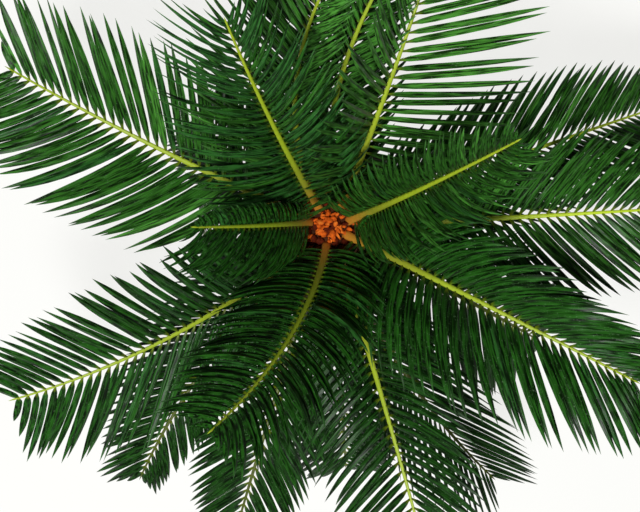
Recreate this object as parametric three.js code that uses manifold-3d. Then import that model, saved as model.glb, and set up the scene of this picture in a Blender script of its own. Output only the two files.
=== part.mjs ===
// Artificial potted sago palm: a plain round pot filled with soil, a short scaly trunk with a flat foot,
// a tuft of rust-coloured scales at the crown, and three tiers of arching fronds. Each frond is one thin
// blade whose outline is cut to the rib between its leaflets.
// Millimetres, +Z up, origin at the centre of the pot's flat underside.
import * as THREE from "three";
import { mergeVertices } from "three/addons/utils/BufferGeometryUtils.js";
import Module from "manifold-3d";

const wasm = await Module();
wasm.setup();

// Clearances
const SEAT_GAP = 0.3; // between two pieces that rest on each other
const LEAF_CLEARANCE = 0.4; // grown round a leaflet before it is tested against its neighbours

// Pot and soil
const POT_HEIGHT = 210;
const POT_RIM_RADIUS = 120;
const POT_FOOT_RADIUS = 92;
const POT_WALL = 9;
const POT_FLOOR = 14;
const POT_LIP_HEIGHT = 16;
const POT_LIP_PROUD = 4;
const POT_FOOT_BEVEL = 5;
const POT_SIDES = 32;
const SOIL_TOP = 186;
const SOIL_CROWN = 5; // how far the soil rises from the wall to the trunk

// Trunk and crown tuft
const TRUNK_FOOT = SOIL_TOP + SEAT_GAP;
const TRUNK_TOP = 333;
const TRUNK_FOOT_RADIUS = 60;
const TRUNK_WAIST_RADIUS = 47;
const TRUNK_TOP_RADIUS = 19;
const TRUNK_SHOULDER = 42; // height over which the trunk rounds off to its top
const TRUNK_FLARE = 40; // height over which the foot draws in to the waist
const TRUNK_SIDES = 20;
const TRUNK_ROWS = 12;
const SCALE_RELIEF = 3.5; // how far the old leaf bases stand out of the trunk
const TUFT_RADIUS = 17;
const TUFT_HEIGHT = 19;
const TUFT_SIDES = 12;
const TUFT_ROWS = 4;
const TUFT_RELIEF = 3;

// Fronds
const RACHIS_STEPS = 48;
const PETIOLE_SHARE = 0.02; // bare stretch between the trunk and the first leaflet
const ROOT_DEPTH = 11; // how far the rib is drawn into the trunk before it is cut to the trunk's shape
const BEND_POWER = 1.25; // above 1 keeps the bend of a frond nearer its tip
const RIB_HALF_WIDTH = { base: 6, middle: 2.9, tip: 1.2 };
const RIB_HALF_HEIGHT = { base: 3.4, middle: 2, tip: 0.9 };
const TIP_LENGTH = 9;

// Leaflets
const LEAF_LENGTH = 165;
const LEAF_SPACING = 23.2; // along the rib, from one pair to the next
const LEAF_THICKNESS = 2.1;
const LEAF_FILL = 0.62; // share of the room between two ribs' stations that a leaflet takes halfway along
const LEAF_TRIES = [1, 0.8, 0.62, 0.46]; // shares of its length that a crowded leaflet is tried at
const SPREAD_POWER = 1.1; // above 1 keeps the narrow angles nearer the tip
const LEAF_DROOP = 0.22; // bend towards the ground over a leaflet's length, radians

// Where each tier's ribs leave the trunk: distance from the axis and height
const TIERS = {
  upper: { radius: 26, height: 335 },
  middle: { radius: 36, height: 319 },
  lower: { radius: 44, height: 301 },
};

// One line for each frond. Angles are in degrees: azimuth is where it leaves the trunk, skew is how far
// left of straight out it starts, rise and fall are its slope at the base and at the tip, sweep is its turn
// to the left on the way, and roll lifts its right edge. The rest is about its leaflets. Lift folds them up
// into a V, and open and close are their angles to the rib at its base and at its tip. Curl bends them down,
// sickle forwards and sway to the right, in radians over their length. Leaf is their share of the full
// leaflet length, bias makes the right ones longer and the left ones shorter, and lean opens the right ones
// wider and the left ones less.
const FROND_FIELDS = [
  ...["tier", "azimuth", "skew", "rise", "fall", "sweep", "roll", "length"],
  ...["lift", "open", "close", "curl", "sickle", "sway", "leaf", "bias", "lean"],
];
const FRONDS = [
  ["upper", 59, 8, 58, 10, 6, -20, 430, 47, 60, 54, 0, 0.15, 0.15, 1.1, 0.01, 0],
  ["upper", 122, 2, 66, 58, -11, 10, 430, 35, 55, 29, 0.63, 0.05, 0, 0.93, -0.08, 0],
  ["upper", 167, 24, 72, 57, -9, 18, 300, 22, 50, 41, 0.4, 0.6, 0.2, 0.5, -0.5, 0],
  ["upper", 260, -1, 62, 52, -40, -12, 430, 28, 58, 47, 0.5, 0.44, -0.07, 0.81, 0, 0],
  ["upper", 16, 4, 66, 60, 7, -20, 400, 55, 54, 34, 0.34, 0.4, -0.2, 0.84, 0.05, 0],
  ["upper", -28, 0, 49, -8, 1, 0, 430, 46, 64, 42, 0.6, 0.42, 0.28, 1, 0.06, 5],
  ["middle", 158, 0, 37, -11, -8, 22, 430, 25, 58, 58, 0, 0.3, 0.25, 1.05, 0, 0],
  ["middle", 221, 0, 39, -8, -25, 41, 440, 0, 49, 63, -0.4, 0.11, 0.47, 0.99, 0, 0],
  ["middle", -73, 0, 38, -14, -2, -17, 430, 30, 64, 60, 0.8, 0.34, 0.5, 0.87, 0, 0],
  ["middle", 114, 8, 58, 44, -73, 0, 430, 20, 50, 36, 0.3, 0.2, 0, 0.76, -0.38, 0],
  ["middle", 94, 2, 55, 30, -46, 0, 430, 24, 46, 34, 0.3, 0.2, 0, 0.6, 0, 0],
  ["middle", 2, 0, 26, -20, 2, 0, 430, 20, 66, 42, 0.3, 0.3, 0, 0.9, 0, 0],
  ["lower", 21, 0, 16, -30, -2, 0, 430, 10, 50, 38, 0.3, 0.3, 0, 0.9, 0, 0],
  ["lower", 224, 0, 8, -28, 20, 0, 395, 10, 60, 34, 0.3, 0.3, 0, 0.7, 0.2, 0],
  ["lower", 252, 0, 10, -30, 2, 0, 407, 10, 64, 34, 0.3, 0.3, 0, 0.8, 0, 0],
  ["lower", -67, 0, 8, -28, 23, 0, 376, 10, 40, 22, 0.3, 0.3, 0, 1.1, 0, 0],
  ["lower", 139, 0, -4, -72, 0, 0, 260, 10, 64, 34, 0.3, 0.3, 0, 0.7, 0, 0],
  ["lower", 182, 0, -12, -84, 0, 0, 200, 2, 64, 34, 0.3, 0.3, 0, 0.7, 0, 0],
  ["lower", -28, 0, 0, -58, 0, 0, 340, 6, 70, 38, 0.3, 0.3, 0, 0.9, 0, 0],
  ["lower", -86, 0, 0, -56, 0, 0, 340, 6, 70, 38, 0.3, 0.3, 0, 0.9, 0, 0],
  ["lower", 92, 0, 16, -42, 0, 0, 350, 10, 62, 38, 0.3, 0.3, 0, 0.9, 0, 0],
].map((row) => Object.fromEntries(row.map((value, column) => [FROND_FIELDS[column], value])));

// Finishes
const potFinish = new THREE.MeshStandardMaterial({ color: 0x3d3a37, roughness: 0.8, metalness: 0 });
const soilFinish = new THREE.MeshStandardMaterial({ color: 0x3a2a1c, roughness: 1, metalness: 0 });
const trunkFinish = new THREE.MeshStandardMaterial({ color: 0x5a3a20, roughness: 0.9, metalness: 0 });
const tuftFinish = new THREE.MeshStandardMaterial({ color: 0xc45c16, roughness: 0.9, metalness: 0 });
const leafFinish = new THREE.MeshStandardMaterial({ color: 0x1e4512, roughness: 0.45, metalness: 0 });

const UP = new THREE.Vector3(0, 0, 1);
const radians = THREE.MathUtils.degToRad;

// v plus each pair's vector times its amount
function sum(v, ...pairs) {
  const total = v.clone();
  for (const [direction, amount] of pairs) total.addScaledVector(direction, amount);
  return total;
}

// Value at share s of a length, through a base, a middle and a tip value.
function tapered({ base, middle, tip }, s) {
  return s < 0.5 ? base + (middle - base) * (s / 0.5) ** 0.7 : middle + (tip - middle) * (s / 0.5 - 1);
}

// Triangles gathered point by point, four corners of a quad or three of a triangle at a time.
class Faces {
  positions = [];

  triangle(a, b, c) {
    this.positions.push(...a.toArray(), ...b.toArray(), ...c.toArray());
  }

  quad(a, b, c, d) {
    this.triangle(a, b, c);
    this.triangle(a, c, d);
  }

  geometry() {
    const loose = new THREE.BufferGeometry();
    loose.setAttribute("position", new THREE.Float32BufferAttribute(this.positions, 3));
    return mergeVertices(loose, 1e-3);
  }
}

function solidOf(geometry, matrix) {
  const placed = matrix ? geometry.clone().applyMatrix4(matrix) : geometry;
  const vertProperties = placed.attributes.position.array;
  const triVerts = new Uint32Array(placed.index.array);
  return new wasm.Manifold(new wasm.Mesh({ numProp: 3, vertProperties, triVerts }));
}

function geometryOf(solid) {
  const { numProp, numVert, vertProperties, triVerts } = solid.getMesh();
  const points = new Float32Array(numVert * 3);
  for (let i = 0; i < numVert; i++) {
    points.set(vertProperties.subarray(i * numProp, i * numProp + 3), i * 3);
  }
  const geometry = new THREE.BufferGeometry();
  geometry.setAttribute("position", new THREE.BufferAttribute(points, 3));
  geometry.setIndex(new THREE.BufferAttribute(new Uint32Array(triVerts), 1));
  return geometry;
}

// A body turned about Z from [radius, height] points that start and end on the axis, from the underside up.
function turned(profile, sides) {
  const points = profile.map(([radius, height]) => new THREE.Vector2(radius, height));
  const lathe = new THREE.LatheGeometry(points, sides).rotateX(Math.PI / 2);
  lathe.deleteAttribute("normal");
  lathe.deleteAttribute("uv");
  return mergeVertices(lathe, 1e-3);
}

const potRadiusAt = (z) => THREE.MathUtils.mapLinear(z, 0, POT_HEIGHT, POT_FOOT_RADIUS, POT_RIM_RADIUS);
const hollowRadiusAt = (z) => potRadiusAt(z) - POT_WALL;

function potGeometry() {
  const lipFoot = POT_HEIGHT - POT_LIP_HEIGHT;
  return turned(
    [
      [0, 0],
      [POT_FOOT_RADIUS - POT_FOOT_BEVEL, 0],
      [potRadiusAt(POT_FOOT_BEVEL), POT_FOOT_BEVEL],
      [potRadiusAt(lipFoot), lipFoot],
      [POT_RIM_RADIUS + POT_LIP_PROUD, lipFoot + POT_LIP_PROUD],
      [POT_RIM_RADIUS + POT_LIP_PROUD, POT_HEIGHT - 3],
      [POT_RIM_RADIUS + POT_LIP_PROUD - 3, POT_HEIGHT],
      [hollowRadiusAt(POT_HEIGHT) + 2, POT_HEIGHT],
      [hollowRadiusAt(POT_HEIGHT - 2), POT_HEIGHT - 2],
      [hollowRadiusAt(POT_FLOOR), POT_FLOOR],
      [0, POT_FLOOR],
    ],
    POT_SIDES,
  );
}

function soilGeometry() {
  const foot = POT_FLOOR + SEAT_GAP;
  const edge = SOIL_TOP - SOIL_CROWN;
  return turned(
    [
      [0, foot],
      [hollowRadiusAt(foot) - SEAT_GAP, foot],
      [hollowRadiusAt(edge) - SEAT_GAP, edge],
      [TRUNK_FOOT_RADIUS + 8, SOIL_TOP],
      [0, SOIL_TOP],
    ],
    POT_SIDES,
  );
}

// Rows of points round the Z axis, closed by a flat foot and a flat top. shape(row share, even) gives a
// ring's [radius, height], and every second point takes the odd shape, so that the rings make scales.
function scaledBody(rows, sides, shape) {
  const faces = new Faces();
  const point = (row, side) => {
    const [radius, height] = shape(row / rows, (row + side) % 2 === 0);
    const angle = (side / sides) * 2 * Math.PI;
    return new THREE.Vector3(radius * Math.cos(angle), radius * Math.sin(angle), height);
  };
  const foot = new THREE.Vector3(0, 0, shape(0, true)[1]);
  const top = new THREE.Vector3(0, 0, shape(1, true)[1]);
  for (let side = 0; side < sides; side++) {
    const next = (side + 1) % sides;
    faces.triangle(foot, point(0, next), point(0, side));
    faces.triangle(top, point(rows, side), point(rows, next));
    for (let row = 0; row < rows; row++) {
      const corners = [point(row, side), point(row, next), point(row + 1, next), point(row + 1, side)];
      // Each diagonal runs between the two corners that stand out.
      if ((row + side) % 2) corners.push(corners.shift());
      faces.quad(...corners);
    }
  }
  return faces.geometry();
}

// The trunk's smooth radius at a height above its foot.
function trunkRadiusAt(height) {
  const total = TRUNK_TOP - TRUNK_FOOT;
  const flare = (TRUNK_FOOT_RADIUS - TRUNK_WAIST_RADIUS) * Math.max(0, 1 - height / TRUNK_FLARE) ** 2;
  const shoulder = Math.max(0, (height - total + TRUNK_SHOULDER) / TRUNK_SHOULDER);
  const rounding = (TRUNK_WAIST_RADIUS - TRUNK_TOP_RADIUS) * (1 - Math.sqrt(1 - Math.min(1, shoulder) ** 2));
  return TRUNK_WAIST_RADIUS + flare - rounding;
}

// grow makes the trunk larger all round, which gives the shape that the ribs are cut to.
function trunkGeometry(grow = 0) {
  const total = TRUNK_TOP - TRUNK_FOOT;
  return scaledBody(TRUNK_ROWS, TRUNK_SIDES, (share, standsOut) => {
    const height = share * total;
    const scaly = share > 0 && height < total - TRUNK_SHOULDER / 2;
    const relief = scaly ? (standsOut ? SCALE_RELIEF / 2 : -SCALE_RELIEF / 2) : 0;
    const lift = share === 0 ? -grow : share === 1 ? grow : 0;
    return [trunkRadiusAt(height) + relief + grow, TRUNK_FOOT + height + lift];
  });
}

function tuftGeometry() {
  return scaledBody(TUFT_ROWS, TUFT_SIDES, (share, standsOut) => {
    const inside = share > 0 && share < 1;
    const relief = inside ? (standsOut ? TUFT_RELIEF / 2 : -TUFT_RELIEF / 2) : 0;
    const radius = TUFT_RADIUS * Math.sqrt(1 - (share * 0.92) ** 2);
    return [radius + relief, TRUNK_TOP + SEAT_GAP + share * TUFT_HEIGHT + (inside ? relief : 0)];
  });
}

// Where a frond's own frame stands: X outwards, Z up, origin where its rib leaves the trunk.
function placeOf(frond) {
  const { radius, height } = TIERS[frond.tier];
  const turn = radians(frond.azimuth);
  const seat = new THREE.Vector3(radius * Math.cos(turn), radius * Math.sin(turn), height);
  return { turn, seat, matrix: new THREE.Matrix4().makeRotationZ(turn).setPosition(seat) };
}

function headingAt(frond, s) {
  const slope = radians(frond.rise + (frond.fall - frond.rise) * Math.max(0, s) ** BEND_POWER);
  const turn = radians(frond.skew + frond.sweep * Math.max(0, s));
  return new THREE.Vector3(
    Math.cos(slope) * Math.cos(turn),
    Math.cos(slope) * Math.sin(turn),
    Math.sin(slope),
  );
}

// The rib's centre line in the frond's own frame, as evenly spaced points.
function rachisOf(frond) {
  const points = [new THREE.Vector3()];
  for (let i = 0; i < RACHIS_STEPS; i++) {
    const step = [headingAt(frond, (i + 0.5) / RACHIS_STEPS), frond.length / RACHIS_STEPS];
    points.push(sum(points[i], step));
  }
  return points;
}

// Point, forward, right and up of the rib at share s of its length. Below 0 is inside the trunk.
function ribFrame(frond, rachis, s) {
  const forward = headingAt(frond, s);
  const level = forward.clone().cross(UP).normalize();
  const steep = level.clone().cross(forward);
  const roll = radians(frond.roll) * THREE.MathUtils.clamp(s / PETIOLE_SHARE, 0, 1);
  const right = sum(level.clone().multiplyScalar(Math.cos(roll)), [steep, Math.sin(roll)]);
  const up = sum(steep.clone().multiplyScalar(Math.cos(roll)), [level, -Math.sin(roll)]);
  if (s < 0) return { point: forward.clone().multiplyScalar(s * frond.length), forward, right, up };
  const step = Math.min(Math.floor(s * RACHIS_STEPS), RACHIS_STEPS - 1);
  const point = rachis[step].clone().lerp(rachis[step + 1], s * RACHIS_STEPS - step);
  return { point, forward, right, up };
}

// The four corners of the rib: left and right, above and below.
function ribCorners(frame, s, grow = 0) {
  const wide = tapered(RIB_HALF_WIDTH, Math.max(0, s)) + grow;
  const high = tapered(RIB_HALF_HEIGHT, Math.max(0, s)) + grow;
  const corner = (across, above) => sum(frame.point, [frame.right, across * wide], [frame.up, above * high]);
  return {
    rightTop: corner(1, 1),
    rightBottom: corner(1, -1),
    leftTop: corner(-1, 1),
    leftBottom: corner(-1, -1),
  };
}

// Share of the full length that the leaflet at share u of the leafy stretch has.
function leafShare(u) {
  const growing = 0.7 + 0.3 * Math.sin((Math.min(1, u / 0.35) * Math.PI) / 2);
  const fading = 1 - 0.42 * Math.max(0, (u - 0.5) / 0.5) ** 1.5;
  const ending = Math.min(1, 0.25 + (1 - u) / 0.1);
  return growing * fading * ending;
}

// How many leaflets stand on each side of a frond.
function pairsOf(frond) {
  return Math.round((frond.length * (1 - PETIOLE_SHARE)) / LEAF_SPACING);
}

// Angle between the rib and the leaflet at share u of the leafy stretch.
function spreadAt(frond, u) {
  return radians(frond.open + (frond.close - frond.open) * u ** SPREAD_POWER);
}

// Centre, width direction and thickness direction of a leaflet at share t of its length, and its tip. It is
// an arc that starts at an angle to the rib and bends as its frond's line says.
function leafArc(frond, frame, side, u, lengthShare) {
  const spread = spreadAt(frond, u) + side * radians(frond.lean);
  const lift = radians(frond.lift);
  const outwards = frame.right.clone().multiplyScalar(side * Math.cos(lift));
  outwards.addScaledVector(frame.up, Math.sin(lift));
  const start = sum(frame.forward.clone().multiplyScalar(Math.cos(spread)), [outwards, Math.sin(spread)]);
  const bend = UP.clone().multiplyScalar(-LEAF_DROOP);
  bend.addScaledVector(frame.up, -frond.curl).addScaledVector(frame.forward, frond.sickle);
  bend.addScaledVector(frame.right, frond.sway);
  bend.addScaledVector(start, -bend.dot(start));
  const angle = bend.length();
  bend.normalize();
  const length = LEAF_LENGTH * frond.leaf * (1 + side * frond.bias) * leafShare(u) * lengthShare;
  return (t) => {
    const along = Math.sin(angle * t) * (length / angle);
    const aside = (1 - Math.cos(angle * t)) * (length / angle);
    const heading = sum(start.clone().multiplyScalar(Math.cos(angle * t)), [bend, Math.sin(angle * t)]);
    const width = sum(frame.forward, [heading, -frame.forward.dot(heading)]).normalize();
    const thickness = heading.clone().cross(width).multiplyScalar(side);
    return { centre: sum(frame.point, [start, along], [bend, aside]), width, thickness };
  };
}

// Four corners of a leaflet's section, in the order of the rib's side that it grows from.
function leafSection({ centre, width, thickness }, halfWidth, halfThickness) {
  const corner = (along, above) => {
    return sum(centre, [width, along * halfWidth], [thickness, above * halfThickness]);
  };
  return [corner(-1, 1), corner(1, 1), corner(1, -1), corner(-1, -1)];
}

// A leaflet between two rib stations: its middle section and its tip, and the same shape from root to tip
// grown by the clearance, for tests. side is 1 on the frond's right and -1 on its left.
function leafBetween(frond, { between: frame, share }, index, side, lengthShare) {
  const u = (index + 0.5) / pairsOf(frond);
  const arc = leafArc(frond, frame, side, u, lengthShare);
  const spacing = (frond.length * (1 - PETIOLE_SHARE)) / pairsOf(frond);
  const halfWidth = (spacing * Math.sin(spreadAt(frond, u)) * LEAF_FILL) / 2;
  const halfThickness = LEAF_THICKNESS / 2;
  const rootCentre = sum(frame.point, [frame.right, side * tapered(RIB_HALF_WIDTH, share)]);
  const root = { centre: rootCentre, width: frame.forward, thickness: frame.up };
  const tip = arc(1).centre;
  const pastTip = sum(tip, [tip.clone().sub(arc(0.95).centre).normalize(), LEAF_CLEARANCE]);
  return {
    middle: leafSection(arc(0.5), halfWidth, halfThickness),
    tip,
    test: {
      root: leafSection(root, spacing / 2, tapered(RIB_HALF_HEIGHT, share) + LEAF_CLEARANCE),
      middle: leafSection(arc(0.5), halfWidth + LEAF_CLEARANCE, halfThickness + LEAF_CLEARANCE),
      tip: pastTip,
    },
  };
}

// Adds the sides of a leaflet from its root to its tip. turnedOver is true on the frond's left, where the
// same order of corners faces the other way.
function addLeaf(faces, root, middle, tip, turnedOver) {
  for (let k = 0; k < 4; k++) {
    const next = (k + 1) % 4;
    if (turnedOver) {
      faces.quad(root[k], root[next], middle[next], middle[k]);
      faces.triangle(middle[k], middle[next], tip);
    } else {
      faces.quad(root[k], middle[k], middle[next], root[next]);
      faces.triangle(middle[k], tip, middle[next]);
    }
  }
}

// Closes four corners in the order that addLeaf takes, facing the way in which the leaflet would grow.
function closeSide(faces, corners, turnedOver) {
  if (turnedOver) faces.quad(...corners);
  else faces.quad(...corners.toReversed());
}

// The closed solid of a leaflet's test shape, placed in the plant's frame. from is the share of the way
// from the root to the middle section at which the shape starts.
function testSolid({ root, middle, tip }, turnedOver, matrix, from) {
  const start = root.map((corner, k) => corner.clone().lerp(middle[k], from));
  const faces = new Faces();
  addLeaf(faces, start, middle, tip, turnedOver);
  closeSide(faces, start, !turnedOver);
  const geometry = faces.geometry().applyMatrix4(matrix);
  geometry.computeBoundingBox();
  return { solid: solidOf(geometry), box: geometry.boundingBox };
}

function touches(a, b) {
  return a.box.intersectsBox(b.box) && a.solid.intersect(b.solid).volume() > 0;
}

function placedSolid(geometry, matrix = new THREE.Matrix4()) {
  const placed = geometry.clone().applyMatrix4(matrix);
  placed.computeBoundingBox();
  return { solid: solidOf(placed), box: placed.boundingBox };
}

// Stations along the leafy stretch, each with the frame halfway to the next.
function stationsOf(frond) {
  const rachis = rachisOf(frond);
  const pairs = pairsOf(frond);
  const shareAt = (i) => PETIOLE_SHARE + ((1 - PETIOLE_SHARE) * i) / pairs;
  return Array.from({ length: pairs + 1 }, (_, i) => ({
    share: shareAt(i),
    frame: ribFrame(frond, rachis, shareAt(i)),
    between: ribFrame(frond, rachis, Math.min(1, shareAt(i + 0.5))),
  }));
}

// Stations of the bare stalk, from inside the trunk up to the first leaflet.
function stalkOf(frond) {
  const rachis = rachisOf(frond);
  return [-ROOT_DEPTH / frond.length, 0, PETIOLE_SHARE / 2].map((share) => ({
    share,
    frame: ribFrame(frond, rachis, share),
  }));
}

// The blade of a frond: stalk, rib, point, and the leaflets it was given. leaves[side][index] may be null.
function bladeGeometry(frond, leaves, grow = 0) {
  const stations = stationsOf(frond);
  const sections = [...stalkOf(frond), ...stations];
  const rings = sections.map(({ frame, share }) => ribCorners(frame, share, grow));
  const faces = new Faces();
  const first = rings[0];
  faces.quad(first.leftTop, first.leftBottom, first.rightBottom, first.rightTop);
  const firstLeafy = sections.length - stations.length;
  for (let i = 0; i + 1 < rings.length; i++) {
    const [a, b] = [rings[i], rings[i + 1]];
    faces.quad(a.leftTop, a.rightTop, b.rightTop, b.leftTop);
    faces.quad(a.leftBottom, b.leftBottom, b.rightBottom, a.rightBottom);
    const roots = {
      right: [a.rightTop, b.rightTop, b.rightBottom, a.rightBottom],
      left: [a.leftTop, b.leftTop, b.leftBottom, a.leftBottom],
    };
    for (const side of ["right", "left"]) {
      const leaf = leaves?.[side][i - firstLeafy];
      const turnedOver = side === "left";
      if (leaf) addLeaf(faces, roots[side], leaf.middle, leaf.tip, turnedOver);
      else closeSide(faces, roots[side], turnedOver);
    }
  }
  const last = rings[rings.length - 1];
  const end = stations.at(-1).frame;
  const point = sum(end.point, [end.forward, TIP_LENGTH]);
  faces.triangle(last.leftTop, last.rightTop, point);
  faces.triangle(last.rightTop, last.rightBottom, point);
  faces.triangle(last.rightBottom, last.leftBottom, point);
  faces.triangle(last.leftBottom, last.leftTop, point);
  return faces.geometry();
}

// The leaflets of each frond, upper tier first. A leaflet that would touch the trunk, the tuft, the pot,
// another frond's rib or a leaflet that stands already is tried shorter, and then left out.
function growLeaves(fronds, limbs) {
  const ribs = fronds.map((frond) => {
    const bare = bladeGeometry(frond, null, LEAF_CLEARANCE);
    return placedSolid(bare, placeOf(frond).matrix);
  });
  const standing = [];
  return fronds.map((frond, number) => {
    const { matrix } = placeOf(frond);
    const stations = stationsOf(frond);
    const own = [];
    const leaves = { right: [], left: [] };
    for (let index = 0; index < pairsOf(frond); index++) {
      for (const side of ["right", "left"]) {
        const turnedOver = side === "left";
        leaves[side][index] = null;
        for (const lengthShare of LEAF_TRIES) {
          const leaf = leafBetween(frond, stations[index], index, turnedOver ? -1 : 1, lengthShare);
          const whole = testSolid(leaf.test, turnedOver, matrix, 0);
          const free = testSolid(leaf.test, turnedOver, matrix, 0.5);
          const blocked =
            limbs.some((limb) => touches(whole, limb)) ||
            ribs.some((rib, other) => other !== number && touches(whole, rib)) ||
            standing.some((leafSolid) => touches(whole, leafSolid)) ||
            own.some((leafSolid) => touches(free, leafSolid.free));
          if (blocked) continue;
          leaves[side][index] = leaf;
          own.push({ whole, free });
          break;
        }
      }
    }
    standing.push(...own.map(({ whole }) => whole));
    return leaves;
  });
}

function named(name, geometry, finish) {
  const mesh = new THREE.Mesh(geometry, finish);
  mesh.name = name;
  return mesh;
}

function makePlant() {
  const plant = new THREE.Group();
  const container = new THREE.Group();
  container.add(named("pot", potGeometry(), potFinish), named("soil", soilGeometry(), soilFinish));
  const stem = new THREE.Group();
  stem.add(named("trunk", trunkGeometry(), trunkFinish), named("crown_tuft", tuftGeometry(), tuftFinish));
  plant.add(container, stem);

  const limbs = [...container.children, ...stem.children].map((mesh) => placedSolid(mesh.geometry));
  const leaves = growLeaves(FRONDS, limbs);
  const trunkRoom = trunkGeometry(SEAT_GAP);
  const counts = {};
  FRONDS.forEach((frond, number) => {
    const { turn, seat, matrix } = placeOf(frond);
    const blade = solidOf(bladeGeometry(frond, leaves[number]));
    const cut = blade.subtract(solidOf(trunkRoom, matrix.clone().invert()));
    counts[frond.tier] = (counts[frond.tier] ?? 0) + 1;
    const mesh = named(`${frond.tier}_frond_${counts[frond.tier]}`, geometryOf(cut), leafFinish);
    mesh.position.copy(seat);
    mesh.rotation.z = turn;
    plant.add(mesh);
  });
  return plant;
}

export default makePlant();
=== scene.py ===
# The looks of an artificial sago palm in a round pot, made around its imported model. The file is laid out
# as a Blender add-on: settings, one operator for each group of pieces, a panel, and a main function.
import math
import random
from collections import namedtuple

import bmesh
import bpy
from bpy.props import FloatProperty, FloatVectorProperty, IntProperty, PointerProperty
from mathutils import Matrix, Quaternion, Vector


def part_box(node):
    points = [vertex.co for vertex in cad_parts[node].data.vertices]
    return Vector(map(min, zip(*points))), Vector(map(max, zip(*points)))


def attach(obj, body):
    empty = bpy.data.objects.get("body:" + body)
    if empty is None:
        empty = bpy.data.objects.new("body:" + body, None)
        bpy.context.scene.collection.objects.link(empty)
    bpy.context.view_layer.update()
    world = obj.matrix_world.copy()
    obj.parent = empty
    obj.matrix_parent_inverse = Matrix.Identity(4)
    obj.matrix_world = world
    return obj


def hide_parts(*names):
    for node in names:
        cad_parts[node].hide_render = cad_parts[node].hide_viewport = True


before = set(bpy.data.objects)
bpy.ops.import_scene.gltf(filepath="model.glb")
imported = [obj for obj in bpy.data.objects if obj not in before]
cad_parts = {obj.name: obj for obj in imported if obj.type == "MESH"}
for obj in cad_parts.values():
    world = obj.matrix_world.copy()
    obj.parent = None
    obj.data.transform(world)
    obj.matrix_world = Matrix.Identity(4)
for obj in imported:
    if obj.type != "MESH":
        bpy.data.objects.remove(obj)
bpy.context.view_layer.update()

bl_info = {
    "name": "Potted sago palm",
    "version": (1, 0, 0),
    "blender": (4, 5, 0),
    "location": "View3D > Sidebar > Palm",
    "description": "Builds the pot, soil, trunk, crown tuft and fronds of an artificial sago palm",
    "category": "Add Mesh",
}

BODY = "root"
SEED = 41
CHIP_SEED = SEED + 100
LEAF_BASE_SEED = SEED + 200
LUMP_SEED = SEED + 300
UP = Vector((0, 0, 1))
MM = 0.001

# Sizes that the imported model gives
POT_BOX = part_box("pot")
SOIL_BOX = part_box("soil")
TRUNK_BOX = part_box("trunk")
TUFT_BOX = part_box("crown_tuft")

# Pot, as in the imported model: the foot, wall, floor and lip
POT_HEIGHT = POT_BOX[1].z
POT_LIP_PROUD = 4 * MM
POT_RIM_RADIUS = POT_BOX[1].x - POT_LIP_PROUD
POT_FOOT_RADIUS = 92 * MM
POT_WALL = 9 * MM
POT_FLOOR = 14 * MM
POT_LIP_HEIGHT = 16 * MM
POT_FOOT_BEVEL = 5 * MM

# Soil and trunk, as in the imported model
SOIL_TOP = SOIL_BOX[1].z
SOIL_CROWN = 5 * MM
TRUNK_FOOT = TRUNK_BOX[0].z
TRUNK_TOP = TRUNK_BOX[1].z
TRUNK_FOOT_RADIUS = 60 * MM
TRUNK_WAIST_RADIUS = 47 * MM
TRUNK_TOP_RADIUS = 19 * MM
TRUNK_SHOULDER = 42 * MM
TRUNK_FLARE = 40 * MM
TUFT_RADIUS = 16.5 * MM
TUFT_DOME = 7 * MM
TUFT_SKIRT = 38 * MM

# How deep the trunk's core lies under its leaf bases, and how far the peat stays under the chips
CORE_DEPTH = 2.2 * MM
PEAT_UNDER_CHIPS = 1 * MM
CHIP_LENGTH = 10 * MM

# Fronds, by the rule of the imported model
RACHIS_STEPS = 48
PETIOLE_SHARE = 0.02
ROOT_DEPTH = 11 * MM
BEND_POWER = 1.25
RIB_HALF_WIDTH = (6 * MM, 2.9 * MM, 1.2 * MM)
RIB_HALF_HEIGHT = (3.4 * MM, 2 * MM, 0.9 * MM)
TAPER_POWER = 0.7
TIP_LENGTH = 9 * MM
LEAF_TRIES = (1, 0.8, 0.62, 0.46)
SPREAD_POWER = 1.1
LEAF_DROOP = 0.22
ROOT_SHARE = 0.7
ROOM_FILLED = 1.05
# Leaflets narrower than this share of the full width stand closer together
USUAL_WIDTH_SHARE = 0.85
# Shares along a leaflet that have to stay clear of the trunk and the pot
TESTED_SHARES = (0.3, 0.5, 0.7, 0.85, 1.0)
TIERS = {"upper": (26 * MM, 335 * MM), "middle": (36 * MM, 319 * MM), "lower": (44 * MM, 301 * MM)}

# How unevenly leaflets grow: their turns as shares of the setting for it, and the ranges of the rest
SPREAD_UNEVENNESS = 0.5
LIFT_UNEVENNESS = 0.8
BEND_RANGE = (0.85, 1.15)
LENGTH_RANGE = (0.96, 1.02)
TWIST_RANGE = (-0.6, 0.6)
WIDTH_RANGE = (0.92, 1.04)

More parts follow.
